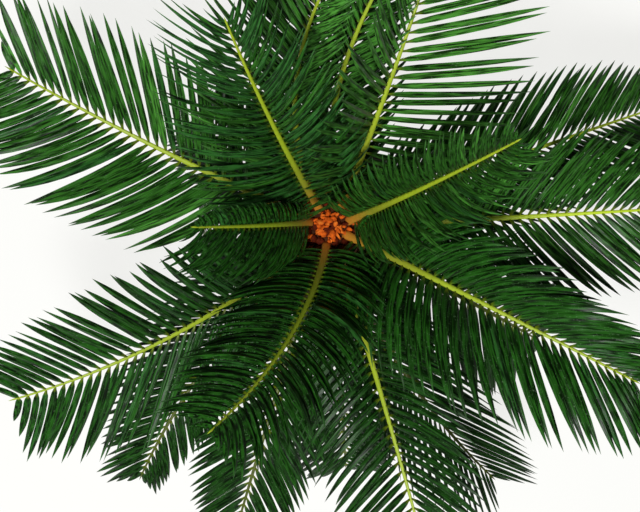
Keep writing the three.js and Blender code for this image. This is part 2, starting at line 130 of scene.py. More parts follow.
# One line for each frond. Angles are in degrees: azimuth is where it leaves the trunk, skew is how far
# left of straight out it starts, rise and fall are its slope at the base and at the tip, sweep is its turn
# to the left on the way, and roll lifts its right edge. Length is in millimetres. The rest is about its
# leaflets. Lift folds them up into a V, and open and close are their angles to the rib at its base and at
# its tip. Curl bends them down, sickle forwards and sway to the right, in radians over their length. Leaf
# and wide are shares of the full leaflet length and width, bias makes the right ones longer and the left
# ones shorter, lean opens the right ones wider and the left ones less, and tint is the number of the green
# that most of them take. From curl on, a frond that says nothing else is like the low ones.
Frond = namedtuple(
    "Frond",
    "node azimuth skew rise fall sweep roll length lift open close "
    "curl sickle sway leaf bias lean wide tint",
    defaults=(0.3, 0.3, 0, 0.9, 0, 0, 1, 4),
)
FRONDS = [
    Frond("upper_frond_1", 59, 8, 58, 10, 6, -20, 430, 47, 60, 54, 0, 0.15, 0.15, 1.1, 0.01, 0, 0.85, 0),
    Frond("upper_frond_2", 122, 2, 66, 58, -11, 10, 430, 35, 55, 29, 0.63, 0.05, 0, 0.93, -0.08, 0, 0.85, 2),
    Frond("upper_frond_3", 167, 24, 72, 57, -9, 18, 300, 22, 50, 41, 0.4, 0.6, 0.2, 0.5, -0.5, 0, 0.85, 3),
    Frond("upper_frond_4", 260, -1, 62, 52, -40, -12, 430, 28, 58, 47, 0.5, 0.44, -0.07, 0.81, 0, 0, 1, 3),
    Frond("upper_frond_5", 16, 4, 66, 60, 7, -20, 400, 55, 54, 34, 0.34, 0.4, -0.2, 0.84, 0.05, 0, 0.66, 1),
    Frond("upper_frond_6", -28, 0, 49, -8, 1, 0, 430, 46, 64, 42, 0.6, 0.42, 0.28, 1, 0.06, 5, 1.05, 3),
    Frond("middle_frond_1", 158, 0, 37, -11, -8, 22, 430, 25, 58, 58, 0, 0.3, 0.25, 1.05, 0, 0, 1.05, 1),
    Frond("middle_frond_2", 221, 0, 39, -8, -25, 41, 440, 0, 49, 63, -0.4, 0.11, 0.47, 0.99, 0, 0, 1, 3),
    Frond("middle_frond_3", -73, 0, 38, -14, -2, -17, 430, 30, 64, 60, 0.8, 0.34, 0.5, 0.87, 0, 0, 0.9, 4),
    Frond("middle_frond_4", 114, 8, 58, 44, -73, 0, 430, 20, 50, 36, 0.3, 0.2, 0, 0.76, -0.38, 0, 0.9, 0),
    Frond("middle_frond_5", 94, 2, 55, 30, -46, 0, 430, 24, 46, 34, 0.3, 0.2, 0, 0.6, 0, 0, 0.85, 0),
    Frond("middle_frond_6", 2, 0, 26, -20, 2, 0, 430, 20, 66, 42, tint=1),
    Frond("lower_frond_1", 21, 0, 16, -30, -2, 0, 430, 10, 50, 38, tint=1),
    Frond("lower_frond_2", 224, 0, 8, -28, 20, 0, 395, 10, 60, 34, leaf=0.7, bias=0.2),
    Frond("lower_frond_3", 252, 0, 10, -30, 2, 0, 407, 10, 64, 34, leaf=0.8),
    Frond("lower_frond_4", -67, 0, 8, -28, 23, 0, 376, 10, 40, 22, leaf=1.1, wide=0.85),
    Frond("lower_frond_5", 139, 0, -4, -72, 0, 0, 260, 10, 64, 34, leaf=0.7),
    Frond("lower_frond_6", 182, 0, -12, -84, 0, 0, 200, 2, 64, 34, leaf=0.7),
    Frond("lower_frond_7", -28, 0, 0, -58, 0, 0, 340, 6, 70, 38),
    Frond("lower_frond_8", -86, 0, 0, -56, 0, 0, 340, 6, 70, 38),
    Frond("lower_frond_9", 92, 0, 16, -42, 0, 0, 350, 10, 62, 38),
]

# Settings with the greens of the leaflets, in the order of a frond's tint. The last two are painted shade:
# darker copies of the green for the fronds that lie in shade
GREENS = ("leaf_green", "forest_green", "blue_green", "dark_green", "shade_green")

# Ribs painted brighter than the others round them, as painted light where leaflets shade them
PAINTED_LIGHT_RIBS = ("middle_frond_6", "lower_frond_1")

# What each station of a frond holds for the leaflet that grows there
STATION_FIELDS = {
    **dict.fromkeys(("root", "start", "bend", "forward"), "FLOAT_VECTOR"),
    **dict.fromkeys(("angle", "reach", "side", "wide", "twist", "shade"), "FLOAT"),
    "tint": "INT",
}
# What each point of the flat strip holds: its place on it
STRIP_FIELDS = {"along": "FLOAT", "across": "FLOAT", "above": "FLOAT"}
# What each point holds for the copy that is set on it
COPY_FIELDS = {"turn": "QUATERNION", "size": "FLOAT_VECTOR", "tint": "INT"}

# The camera looks straight down on the plant, as the photographer did
CAMERA_PLACE = (-0.013, -0.039, 2.035)
CAMERA_LENS = 73.56
CAMERA_SENSOR = 36
CAMERA_SIGHT = 30


def linear(hex_colour):
    """An sRGB hex colour as linear red, green and blue, with an alpha of 1."""
    channels = [int(hex_colour[i : i + 2], 16) / 255 for i in (0, 2, 4)]
    return [c / 12.92 if c <= 0.04045 else ((c + 0.055) / 1.055) ** 2.4 for c in channels] + [1.0]


def mixed(first, second, share):
    """What lies a share of the way from the first to the second."""
    return first + (second - first) * share


def smooth(share):
    """A share that leaves 0 and reaches 1 gently."""
    share = max(0.0, min(1.0, share))
    return share * share * (3 - 2 * share)


def turns(count):
    """Angles that share out a full turn."""
    return [2 * math.pi * k / count for k in range(count)]


def round_point(radius, angle, height=0):
    """The point at a distance from the Z axis, an angle round it and a height."""
    return Vector((radius * math.cos(angle), radius * math.sin(angle), height))


def colour_property(name, description, hex_colour):
    """A colour that a user can change, from its sRGB hex value."""
    return FloatVectorProperty(
        name=name,
        description=description,
        default=linear(hex_colour),
        size=4,
        min=0,
        max=1,
        subtype="COLOR",
    )


def setting(kind, name, description, default, limits, **unit):
    """A number that a user can change within its limits. Kind is FloatProperty or IntProperty."""
    low, high = limits
    return kind(name=name, description=description, default=default, min=low, max=high, **unit)


class PalmLeaves(bpy.types.PropertyGroup):
    """Sizes and colours of the fronds."""

    leaf_spacing: setting(
        FloatProperty, "Leaflet spacing", "Distance along the rib from one pair of leaflets to the next",
        default=11.6 * MM, limits=(5 * MM, 50 * MM), unit="LENGTH",
    )
    leaf_length: setting(
        FloatProperty, "Leaflet length", "Length of the longest leaflets",
        default=165 * MM, limits=(50 * MM, 250 * MM), unit="LENGTH",
    )
    leaf_width: setting(
        FloatProperty, "Leaflet width", "Width of a leaflet along its straight edges",
        default=9.2 * MM, limits=(3 * MM, 20 * MM), unit="LENGTH",
    )
    spread_jitter: setting(
        FloatProperty, "Unevenness", "How far a leaflet may turn out of line with its neighbours",
        default=math.radians(2.6), limits=(0, 0.3), subtype="ANGLE",
    )
    leaf_green: colour_property("Leaf green", "Leaflets of the brightest fronds", "2c591c")
    forest_green: colour_property("Forest green", "Leaflets of the steep fronds", "1c4210")
    blue_green: colour_property("Blue green", "Leaflets with a colder tone", "183c14")
    # Painted shade: darker greens for the fronds on the shaded side and for the lowest fronds
    dark_green: colour_property("Dark green", "Leaflets of the fronds on the shaded side", "13370a")
    shade_green: colour_property("Shade green", "Leaflets of the lowest fronds", "0f2d08")
    # Pale grey-green for the points of the leaflets, and for the painted glints in flecks over them
    pale_point_and_glints: colour_property("Pale point and glints", "Points of the leaflets", "54704e")
    rib_tip: colour_property("Rib", "Painted rib from its middle to its tip", "8fa31b")
    rib_middle: colour_property("Rib near the trunk", "Painted rib beside its first leaflets", "7c801c")
    rib_base: colour_property("Rib base", "Painted rib where it leaves the trunk", "b07220")


class PalmTrunk(bpy.types.PropertyGroup):
    """Sizes and colours of the trunk and its tuft."""

    scales_around: setting(
        IntProperty, "Leaf bases round the trunk", "Old leaf bases in one row", default=14, limits=(6, 30)
    )
    lumps: setting(
        IntProperty, "Tuft lumps", "Broken scales of fibre in the tuft", default=46, limits=(20, 600)
    )
    shoulder_lumps: setting(
        IntProperty, "Shoulder lumps", "Broken scales of fibre round the stalks",
        default=90, limits=(20, 600),
    )
    trunk_brown: colour_property("Trunk brown", "Moulded leaf bases", "5e3a1e")
    trunk_dark: colour_property("Trunk shadow", "The deep joints between leaf bases", "3a1c0c")
    rust: colour_property("Rust", "Most scales of the tuft", "ba5212")
    rust_dark: colour_property("Dark rust", "The oldest scales", "541a06")
    rust_light: colour_property("Light rust", "The youngest scales", "c46c24")


class PalmPot(bpy.types.PropertyGroup):
    """Sizes and colours of the pot and its filling."""

    pot_segments: setting(
        IntProperty, "Pot segments", "Straight faces round the pot", default=96, limits=(16, 256)
    )
    chips: setting(
        IntProperty, "Bark chips", "Loose chips on the filling", default=620, limits=(0, 3000)
    )
    stoneware: colour_property("Stoneware", "Matte body of the pot", "3d3a37")
    speckle: colour_property("Speckle", "Pale specks in the stoneware", "6f6a62")
    bark: colour_property("Bark", "Bark chips", "4a3220")
    bark_light: colour_property("Light bark", "Bark chips that show their inner side", "7a5636")
    peat: colour_property("Peat", "Filling under the chips", "1f140d")


class PalmStage(bpy.types.PropertyGroup):
    """Floor and light."""

    floor_size: setting(
        FloatProperty, "Floor", "Side of the floor", default=9.0, limits=(2, 50), unit="LENGTH"
    )
    key_power: setting(
        FloatProperty, "Key light", "Power of the large soft light above the plant",
        default=100, limits=(0, 500), unit="POWER",
    )
    side_power: setting(
        FloatProperty, "Side lights", "Power of each soft light beside the plant",
        default=1.2, limits=(0, 500), unit="POWER",
    )
    room_light: setting(
        FloatProperty, "Room light", "Light that the room gives", default=0.02, limits=(0, 5)
    )
    floor_glow: setting(
        FloatProperty, "Floor glow", "Light that comes up through the opal floor",
        default=0.9, limits=(0, 5),
    )
    floor_colour: colour_property("Floor colour", "Opal floor", "f6f6f3")


def add_node(tree, kind, inputs=None, **settings):
    """A node with its settings.

    Each input takes a value, the output socket of another node, or that node itself for its first output.
    Inputs that share a name go by number: Map Range reads 0 between 1 and 2 and gives what lies between 3
    and 4, and Mix goes from its colour 6 to its colour 7 by the share 0.
    """
    node = tree.nodes.new(kind)
    for name, value in settings.items():
        setattr(node, name, value)
    for key, value in (inputs or {}).items():
        if isinstance(value, bpy.types.Node):
            value = value.outputs[0]
        if isinstance(value, bpy.types.NodeSocket):
            tree.links.new(value, node.inputs[key])
        else:
            node.inputs[key].default_value = value
    return node


def new_material(name):
    """A material without nodes."""
    material = bpy.data.materials.new(name)
    material.use_nodes = True
    material.node_tree.nodes.clear()
    return material


def close_material(material, shader_inputs):
    """Ends a material in its shader and its output."""
    tree = material.node_tree
    shader = add_node(tree, "ShaderNodeBsdfPrincipled", shader_inputs)
    add_node(tree, "ShaderNodeOutputMaterial", {"Surface": shader})
    return material


def set_stops(ramp, stops):
    """Gives a colour ramp its stops, as pairs of a position and a colour in rising order."""
    while len(ramp.elements) < len(stops):
        ramp.elements.new(1.0)
    for number, (position, colour) in enumerate(stops):
        ramp.elements[number].position = position
        ramp.elements[number].color = colour


def toned(colour, amount):
    """A colour made lighter, or darker with an amount under 1."""
    return [min(1.0, channel * amount) for channel in colour[:3]] + [1.0]


def leaf_cloth(name, colour):
    """Satin polyester cloth with a thin plastic coat, pressed with veins along the leaflet.

    The coat gives a soft sheen along each leaflet, and a lighter middle line along the pressed crease is a
    painted highlight.
    """
    leaves = bpy.context.scene.palm_leaves
    material = new_material(name)
    tree = material.node_tree
    along, across, shade = (
        add_node(tree, "ShaderNodeAttribute", attribute_name=field).outputs["Fac"]
        for field in ("along", "across", "shade")
    )
    # Streaks of cloth run along the leaflet. They are about 25 mm long and 2 mm wide, coarser than the real
    # ones, so that they show. Each leaflet reads them at another depth. Their tones are spread wide: the
    # darkest is partly painted shade in the pleats, and the lightest is partly painted sheen
    streak_length, streak_width, depths = 25 * MM, 2 * MM, 90
    axes = {
        "X": (along, leaves.leaf_length / streak_length),
        "Y": (across, leaves.leaf_width / 2 / streak_width),
        "Z": (shade, depths),
    }
    cloth_place = {
        axis: add_node(tree, "ShaderNodeMath", {0: share, 1: count}, operation="MULTIPLY")
        for axis, (share, count) in axes.items()
    }
    cloth = add_node(tree, "ShaderNodeCombineXYZ", cloth_place)
    streaks = add_node(tree, "ShaderNodeTexNoise", {"Vector": cloth, "Scale": 1.0, "Detail": 1.0})
    # The dark tone is partly painted shade, and the light tone is partly painted sheen
    cloth_and_shade_streak, cloth_and_sheen_streak, midline_highlight_tone = toned(colour, 0.2), toned(colour, 2.05), toned(colour, 2.4)
    tones = add_node(tree, "ShaderNodeValToRGB", {"Fac": streaks})
    set_stops(tones.color_ramp, [(0.4, cloth_and_shade_streak), (0.6, cloth_and_sheen_streak)])
    # Painted highlight along the pressed middle line, which ends a fifth of the way to the edge
    off_middle = add_node(tree, "ShaderNodeMath", {0: across}, operation="ABSOLUTE")
    midline_highlight = add_node(tree, "ShaderNodeMapRange", {0: off_middle, 1: 0.0, 2: 0.22, 3: 0.45, 4: 0.0})
    # Pale flecks about 2 mm across are painted glints of the sheen, and the leaflet turns greyer near its
    # point
    place = add_node(tree, "ShaderNodeTexCoord").outputs["Object"]
    specks = add_node(tree, "ShaderNodeTexNoise", {"Vector": place, "Scale": 1 / (2 * MM), "Detail": 1.0})
    glint_flecks = add_node(tree, "ShaderNodeMapRange", {0: specks, 1: 0.64, 2: 0.74, 3: 0.0, 4: 0.6})
    point = add_node(tree, "ShaderNodeMapRange", {0: along, 1: 0.85, 2: 1.0, 3: 0.0, 4: 0.25})
    glints_and_pale_point = add_node(tree, "ShaderNodeMath", {0: glint_flecks, 1: point}, operation="MAXIMUM")
    # The rib's paint runs over the foot
    paint = add_node(tree, "ShaderNodeMapRange", {0: along, 1: 0.01, 2: 0.07, 3: 0.85, 4: 0.0})
    coats = ((midline_highlight, midline_highlight_tone), (glints_and_pale_point, leaves.pale_point_and_glints), (paint, toned(leaves.rib_tip, 0.5)))
    finish = tones.outputs[0]
    for share, coat in coats:
        mix = add_node(tree, "ShaderNodeMix", {0: share, 6: finish, 7: coat}, data_type="RGBA")
        finish = mix.outputs[2]
    gloss = add_node(tree, "ShaderNodeMapRange", {0: streaks, 3: 0.3, 4: 0.55})
    pressed = add_node(tree, "ShaderNodeBump", {"Height": streaks, "Strength": 0.9, "Distance": 0.9 * MM})
    shader_inputs = {"Base Color": finish, "Roughness": gloss, "Normal": pressed}
    return close_material(material, {**shader_inputs, "IOR": 1.46, "Specular IOR Level": 0.16})


def leaf_finishes():
    """The greens of the leaflets, each a material of its own."""
    leaves = bpy.context.scene.palm_leaves
    names = ["Coated cloth, " + green.replace("_", " ") for green in GREENS]
    return [leaf_cloth(name, getattr(leaves, green)) for name, green in zip(names, GREENS)]


def painted_rib(name, amount):
    """Moulded polyethylene with sprayed paint, rust at the trunk and yellow-green from the first leaflets.

    The paint is thin and slightly uneven, with a soft shine. An amount under 1 makes it darker, as painted
    shade, and one over 1 makes it lighter, as painted light.
    """
    leaves = bpy.context.scene.palm_leaves
    material = new_material(name)
    tree = material.node_tree
    share = add_node(tree, "ShaderNodeAttribute", attribute_name="rib_share").outputs["Fac"]
    paint = add_node(tree, "ShaderNodeValToRGB", {"Fac": share})
    paints = {0.0: leaves.rib_base, 0.18: leaves.rib_middle, 0.42: leaves.rib_tip, 1.0: leaves.rib_tip}
    set_stops(paint.color_ramp, [(position, toned(colour, amount)) for position, colour in paints.items()])
    place = add_node(tree, "ShaderNodeTexCoord").outputs["Object"]
    # Spray shows as blotches about 6 mm across
    blotches = add_node(tree, "ShaderNodeTexNoise", {"Vector": place, "Scale": 1 / (6 * MM), "Detail": 3.0})
    uneven = add_node(tree, "ShaderNodeMapRange", {0: blotches, 3: 0.78, 4: 1.2})
    coat = add_node(tree, "ShaderNodeVectorMath", {0: paint, "Scale": uneven}, operation="SCALE")
    gloss = add_node(tree, "ShaderNodeMapRange", {0: blotches, 3: 0.45, 4: 0.65})
    grain = add_node(tree, "ShaderNodeTexNoise", {"Vector": place, "Scale": 1 / (1.5 * MM), "Detail": 2.0})
    relief = add_node(tree, "ShaderNodeBump", {"Height": grain, "Strength": 0.3, "Distance": 0.3 * MM})
    return close_material(
        material, {"Base Color": coat, "Roughness": gloss, "Normal": relief, "IOR": 1.5}
    )


def mottled(name, light, dark, patch, relief, roughness):
    """A rough finish whose colour wanders between two shades.

    Patch is how wide its patches are, and relief how deep its bumps are.
    """
    material = new_material(name)
    tree = material.node_tree
    place = add_node(tree, "ShaderNodeTexCoord").outputs["Object"]
    patches = add_node(tree, "ShaderNodeTexNoise", {"Vector": place, "Scale": 1 / patch, "Detail": 5.0})
    tones = add_node(tree, "ShaderNodeValToRGB", {"Fac": patches})
    set_stops(tones.color_ramp, [(0.32, dark), (0.68, light)])
    # The relief is three times as fine as the patches
    bumps = add_node(
        tree, "ShaderNodeTexNoise", {"Vector": place, "Scale": 3 / patch, "Detail": 4.0, "Roughness": 0.6}
    )
    height = add_node(tree, "ShaderNodeBump", {"Height": bumps, "Strength": 0.7, "Distance": relief})
    smoothest, roughest = roughness - 0.08, min(1.0, roughness + 0.08)
    rough = add_node(tree, "ShaderNodeMapRange", {0: patches, 3: smoothest, 4: roughest})
    shader_inputs = {"Base Color": tones, "Roughness": rough, "Normal": height}
    return close_material(material, {**shader_inputs, "Specular IOR Level": 0.08})


def speckled_stoneware():
    """Matte charcoal stoneware with pale grit in it, turned on a wheel, which leaves faint rings."""
    pot = bpy.context.scene.palm_pot
    material = new_material("Matte stoneware")
    tree = material.node_tree
    place = add_node(tree, "ShaderNodeTexCoord").outputs["Object"]
    clouds = add_node(tree, "ShaderNodeTexNoise", {"Vector": place, "Scale": 1 / (45 * MM), "Detail": 4.0})
    body = add_node(tree, "ShaderNodeValToRGB", {"Fac": clouds})
    set_stops(body.color_ramp, [(0.3, toned(pot.stoneware, 0.9)), (0.7, toned(pot.stoneware, 1.05))])
    # Grains of pale grit lie about 3 mm apart and are under a millimetre across
    grains = add_node(tree, "ShaderNodeTexVoronoi", {"Vector": place, "Scale": 1 / (3.4 * MM)})
    speck = add_node(tree, "ShaderNodeMapRange", {0: grains, 1: 0.1, 2: 0.2, 3: 0.75, 4: 0.0})
    clay = add_node(tree, "ShaderNodeMix", {0: speck, 6: body, 7: pot.speckle}, data_type="RGBA")
    # Turning rings lie 2.5 mm apart up the wall. The wave texture repeats every 0.314 units
    ring_gap, wave_period = 2.5 * MM, 0.314
    rings = add_node(
        tree,
        "ShaderNodeTexWave",
        {"Vector": place, "Scale": wave_period / ring_gap, "Distortion": 0.6, "Detail": 1.0},
        bands_direction="Z",
    ).outputs["Fac"]
    ringed = add_node(tree, "ShaderNodeBump", {"Height": rings, "Strength": 0.35, "Distance": 0.25 * MM})
    grit = add_node(tree, "ShaderNodeTexNoise", {"Vector": place, "Scale": 1 / (1.2 * MM), "Detail": 3.0})
    gritty = add_node(
        tree,
        "ShaderNodeBump",
        {"Height": grit, "Strength": 0.4, "Distance": 0.2 * MM, "Normal": ringed},
    )
    rough = add_node(tree, "ShaderNodeMapRange", {0: clouds, 3: 0.7, 4: 0.85})
    return close_material(
        material, {"Base Color": clay.outputs[2], "Roughness": rough, "Normal": gritty}
    )


def new_object(name, data):
    piece = bpy.data.objects.new(name, data)
    bpy.context.scene.collection.objects.link(piece)
    return piece


def mesh_from(name, points, faces, finishes=()):
    """A smooth mesh from its points and faces, with its faces turned outwards."""
    mesh = bpy.data.meshes.new(name)
    mesh.from_pydata([tuple(point) for point in points], [], faces)
    shape = bmesh.new()
    shape.from_mesh(mesh)
    bmesh.ops.remove_doubles(shape, verts=shape.verts, dist=1e-7)
    bmesh.ops.recalc_face_normals(shape, faces=shape.faces)
    shape.to_mesh(mesh)
    shape.free()
    for finish in finishes:
        mesh.materials.append(finish)
    mesh.polygons.foreach_set("use_smooth", [True] * len(mesh.polygons))
    return mesh


def store(mesh, name, kind, values):
    """Stores one value for each point of a mesh."""
    attribute = mesh.attributes.new(name, kind, "POINT")
    if kind in ("FLOAT_VECTOR", "QUATERNION"):
        values = [number for value in values for number in value]
    attribute.data.foreach_set("vector" if kind == "FLOAT_VECTOR" else "value", values)


def point_mesh(name, places, rows, fields):
    """Loose points, each with a row of values named by fields."""
    mesh = bpy.data.meshes.new(name)
    mesh.from_pydata([tuple(place) for place in places], [], [])
    for number, (field, kind) in enumerate(fields.items()):
        store(mesh, field, kind, [row[number] for row in rows])
    return mesh


def ring_faces(rings, around):
    """Faces between rings of points that follow each other, each with the same number around."""
    faces = []
    for start in range(0, (rings - 1) * around, around):
        for k in range(around):
            n = (k + 1) % around
            faces.append((start + k, start + n, start + around + n, start + around + k))
    return faces


def ringed_mesh(name, rings, finishes=()):
    """A closed skin over rings of points that all have the same number of points."""
    around = len(rings[0])
    points = [point for ring in rings for point in ring]
    ends = [tuple(range(around)), tuple(range(len(points) - around, len(points)))]
    return mesh_from(name, points, ends + ring_faces(len(rings), around), finishes)


def turned_mesh(name, profile, segments, finishes):
    """A body turned about Z from radius and height pairs, with its first and last point on the axis."""
    points = []
    for radius, height in profile[1:-1]:
        points += [round_point(radius, angle, height) for angle in turns(segments)]
    faces = ring_faces(len(profile) - 2, segments)
    first, last, top = len(points), len(points) + 1, len(points) - segments
    points += [Vector((0, 0, profile[0][1])), Vector((0, 0, profile[-1][1]))]
    for k in range(segments):
        n = (k + 1) % segments
        faces += [(first, k, n), (last, top + k, top + n)]
    return mesh_from(name, points, faces, finishes)


def rounded(corners, radius, steps=4):
    """A profile whose inner corners are rounded with arcs of about a radius."""
    profile = [corners[0]]
    for before, corner, after in zip(corners, corners[1:], corners[2:]):
        before, corner, after = Vector(before), Vector(corner), Vector(after)
        # The arcs at both ends of a side leave a little of it straight
        room = min(radius, (before - corner).length / 2.2, (after - corner).length / 2.2)
        start = corner + (before - corner).normalized() * room
        end = corner + (after - corner).normalized() * room
        for step in range(steps + 1):
            share = step / steps
            near = mixed(start, corner, share)
            far = mixed(corner, end, share)
            profile.append(tuple(mixed(near, far, share)))
    return profile + [corners[-1]]


def dress(piece, slot, *nodes):
    """The piece moves with the plant and stands for its nodes, whose imported parts it hides. Slot is not
    used.
    """
    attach(piece, BODY)
    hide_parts(*nodes)


def finish_by_tint(tree, geometry, finishes):
    """Gives each copy the finish that its tint numbers, and ends the tree."""
    tint = add_node(tree, "GeometryNodeInputNamedAttribute", {"Name": "tint"}, data_type="INT")
    for number, finish in enumerate(finishes):
        chosen = add_node(
            tree, "FunctionNodeCompare", {2: tint, 3: number}, data_type="INT", operation="EQUAL"
        )
        geometry = add_node(
            tree,
            "GeometryNodeSetMaterial",
            {"Geometry": geometry, "Selection": chosen, "Material": finish},
        )
    add_node(tree, "NodeGroupOutput", {0: geometry})


def new_node_group(name, inputs):
    """A node group with its inputs and one geometry output, and the sockets that give the inputs."""
    tree = bpy.data.node_groups.new(name, "GeometryNodeTree")
    for socket_name, kind in inputs.items():
        tree.interface.new_socket(socket_name, in_out="INPUT", socket_type=kind)
    tree.interface.new_socket("Geometry", in_out="OUTPUT", socket_type="NodeSocketGeometry")
    return tree, add_node(tree, "NodeGroupInput").outputs


def copies_tree(name, finishes):
    """Node group that sets a turned and sized copy of a shape on each point."""
    tree, given = new_node_group(
        name,
        {"Points": "NodeSocketGeometry", "Shape": "NodeSocketObject", "Shape size": "NodeSocketFloat"},
    )
    turn, size = (
        add_node(
            tree, "GeometryNodeInputNamedAttribute", {"Name": field}, data_type=COPY_FIELDS[field]
        )
        for field in ("turn", "size")
    )
    shape = add_node(tree, "GeometryNodeObjectInfo", {"Object": given["Shape"]}).outputs["Geometry"]
    scale = add_node(
        tree, "ShaderNodeVectorMath", {0: size, "Scale": given["Shape size"]}, operation="SCALE"
    )
    copies = add_node(
        tree,
        "GeometryNodeInstanceOnPoints",
        {"Points": given["Points"], "Instance": shape, "Rotation": turn, "Scale": scale},
    )
    finish_by_tint(tree, add_node(tree, "GeometryNodeRealizeInstances", {0: copies}), finishes)
    return tree


# The two kinds of node that work out the arc of a leaflet
NUMBERS = "ShaderNodeMath"
VECTORS = "ShaderNodeVectorMath"

# The arc of a leaflet, one sum in each line: its result, the kind of node, the operation, and what it takes.
# What no line above gives comes from the station, from the flat strip, or from the group's input
ARC_SUMS = (
    ("turned", NUMBERS, "MULTIPLY", "angle", "along"),
    ("sine", NUMBERS, "SINE", "turned"),
    ("cosine", NUMBERS, "COSINE", "turned"),
    ("bent", NUMBERS, "SUBTRACT", 1.0, "cosine"),
    ("ahead", NUMBERS, "MULTIPLY", "reach", "sine"),
    ("aside", NUMBERS, "MULTIPLY", "reach", "bent"),
    ("ahead_way", VECTORS, "SCALE", "start", "ahead"),
    ("aside_way", VECTORS, "SCALE", "bend", "aside"),
    ("way", VECTORS, "ADD", "ahead_way", "aside_way"),
    ("centre", VECTORS, "ADD", "root", "way"),
    ("heading_ahead", VECTORS, "SCALE", "start", "cosine"),
    ("heading_aside", VECTORS, "SCALE", "bend", "sine"),
    ("heading", VECTORS, "ADD", "heading_ahead", "heading_aside"),
    ("shared", VECTORS, "DOT_PRODUCT", "forward", "heading"),
    ("shared_way", VECTORS, "SCALE", "heading", "shared"),
    ("square", VECTORS, "SUBTRACT", "forward", "shared_way"),
    ("level", VECTORS, "NORMALIZE", "square"),
    ("crossed", VECTORS, "CROSS_PRODUCT", "heading", "level"),
    ("upright", VECTORS, "SCALE", "crossed", "side"),
    ("twisted", NUMBERS, "MULTIPLY", "twist", "along"),
    ("twist_sine", NUMBERS, "SINE", "twisted"),
    ("twist_cosine", NUMBERS, "COSINE", "twisted"),
    ("half", NUMBERS, "MULTIPLY", "wide", "Half width"),
    ("off_middle", NUMBERS, "MULTIPLY", "across", "half"),
    ("off_face", NUMBERS, "MULTIPLY", "above", "half"),
    ("level_across", NUMBERS, "MULTIPLY", "off_middle", "twist_cosine"),
    ("level_above", NUMBERS, "MULTIPLY", "off_face", "twist_sine"),
    ("level_off", NUMBERS, "SUBTRACT", "level_across", "level_above"),
    ("up_across", NUMBERS, "MULTIPLY", "off_middle", "twist_sine"),
    ("up_above", NUMBERS, "MULTIPLY", "off_face", "twist_cosine"),
    ("up_off", NUMBERS, "ADD", "up_across", "up_above"),
    ("level_way", VECTORS, "SCALE", "level", "level_off"),
    ("up_way", VECTORS, "SCALE", "upright", "up_off"),
    ("off_centre", VECTORS, "ADD", "level_way", "up_way"),
    ("place", VECTORS, "ADD", "centre", "off_centre"),
)


def leaflet_tree(name, finishes):
    """Node group that grows a bent leaflet from each station."""
    tree, given = new_node_group(
        name,
        {"Stations": "NodeSocketGeometry", "Strip": "NodeSocketObject", "Half width": "NodeSocketFloat"},
    )
    sockets = {"Half width": given["Half width"]}
    for field, kind in {**STATION_FIELDS, **STRIP_FIELDS}.items():
        sockets[field] = add_node(tree, "GeometryNodeInputNamedAttribute", {"Name": field}, data_type=kind)
    for result, kind, operation, *taken in ARC_SUMS:
        slots = (0, 3) if operation == "SCALE" else range(len(taken))
        inputs = {slot: sockets.get(what, what) for slot, what in zip(slots, taken)}
        node = add_node(tree, kind, inputs, operation=operation)
        sockets[result] = node.outputs[1 if operation == "DOT_PRODUCT" else 0]
    strip = add_node(tree, "GeometryNodeObjectInfo", {"Object": given["Strip"]}).outputs["Geometry"]
    copies = add_node(
        tree, "GeometryNodeInstanceOnPoints", {"Points": given["Stations"], "Instance": strip}
    )
    plain = add_node(tree, "GeometryNodeRealizeInstances", {0: copies})
    grown = add_node(
        tree, "GeometryNodeSetPosition", {"Geometry": plain, "Position": sockets["place"]}
    )
    finish_by_tint(tree, grown, finishes)
    return tree


def grown_piece(name, points, tree, kept=(), **inputs):
    """A plain mesh piece that a node group makes from a mesh of points.

    inputs are the group's inputs by name, with _ for a space. kept names the attributes that the finish
    reads, and the others are removed.
    """
    piece = new_object(name, points)
    modifier = piece.modifiers.new("Copies", "NODES")
    modifier.node_group = tree
    named = {key.replace("_", " "): value for key, value in inputs.items()}
    for socket in tree.interface.items_tree:
        if socket.in_out == "INPUT" and socket.name in named:
            modifier[socket.identifier] = named[socket.name]
    depsgraph = bpy.context.evaluated_depsgraph_get()
    mesh = bpy.data.meshes.new_from_object(
        piece.evaluated_get(depsgraph), preserve_all_data_layers=True, depsgraph=depsgraph
    )
    piece.modifiers.remove(modifier)
    piece.data = mesh
    bpy.data.meshes.remove(points)
    mesh.name = name
    for field in {**STATION_FIELDS, **COPY_FIELDS, **STRIP_FIELDS}:
        if field in mesh.attributes and field not in kept:
            mesh.attributes.remove(mesh.attributes[field])
    if not mesh.polygons:
        raise RuntimeError(f"{name} came out empty")
    return piece


def remove_helper(helper):
    """Removes an object that only lent its shape."""
    mesh = helper.data
    bpy.data.objects.remove(helper)
    bpy.data.meshes.remove(mesh)


def copied_piece(name, node, shape_mesh, shape_size, finishes, places, rows):
    """Dresses a node in turned and sized copies of one shape, each at a place and with a row of values."""
    shape = new_object(name + "_shape", shape_mesh)
    points = point_mesh(name + "_points", places, rows, COPY_FIELDS)
    tree = copies_tree(name, finishes)
    piece = grown_piece(name, points, tree, Shape=shape, Shape_size=shape_size)
    remove_helper(shape)
    dress(piece, node, node)


# Where the rib runs at one share of its length. It is in the frond's own frame, with X outwards and Z up
# from where the rib leaves the trunk
RibPlace = namedtuple("RibPlace", "point forward right up")


def tapered(sizes, share):
    """Value at a share of a length, through a base, a middle and a tip value."""
    base, middle, tip = sizes
    halves = share / 0.5
    if halves < 1:
        return mixed(base, middle, halves**TAPER_POWER)
    return mixed(middle, tip, halves - 1)


def seat_matrix(frond):
    """Where a frond's own frame stands on the plant."""
    radius, height = TIERS[frond.node.split("_")[0]]
    turn = math.radians(frond.azimuth)
    return Matrix.Translation(round_point(radius, turn, height)) @ Matrix.Rotation(turn, 4, "Z")


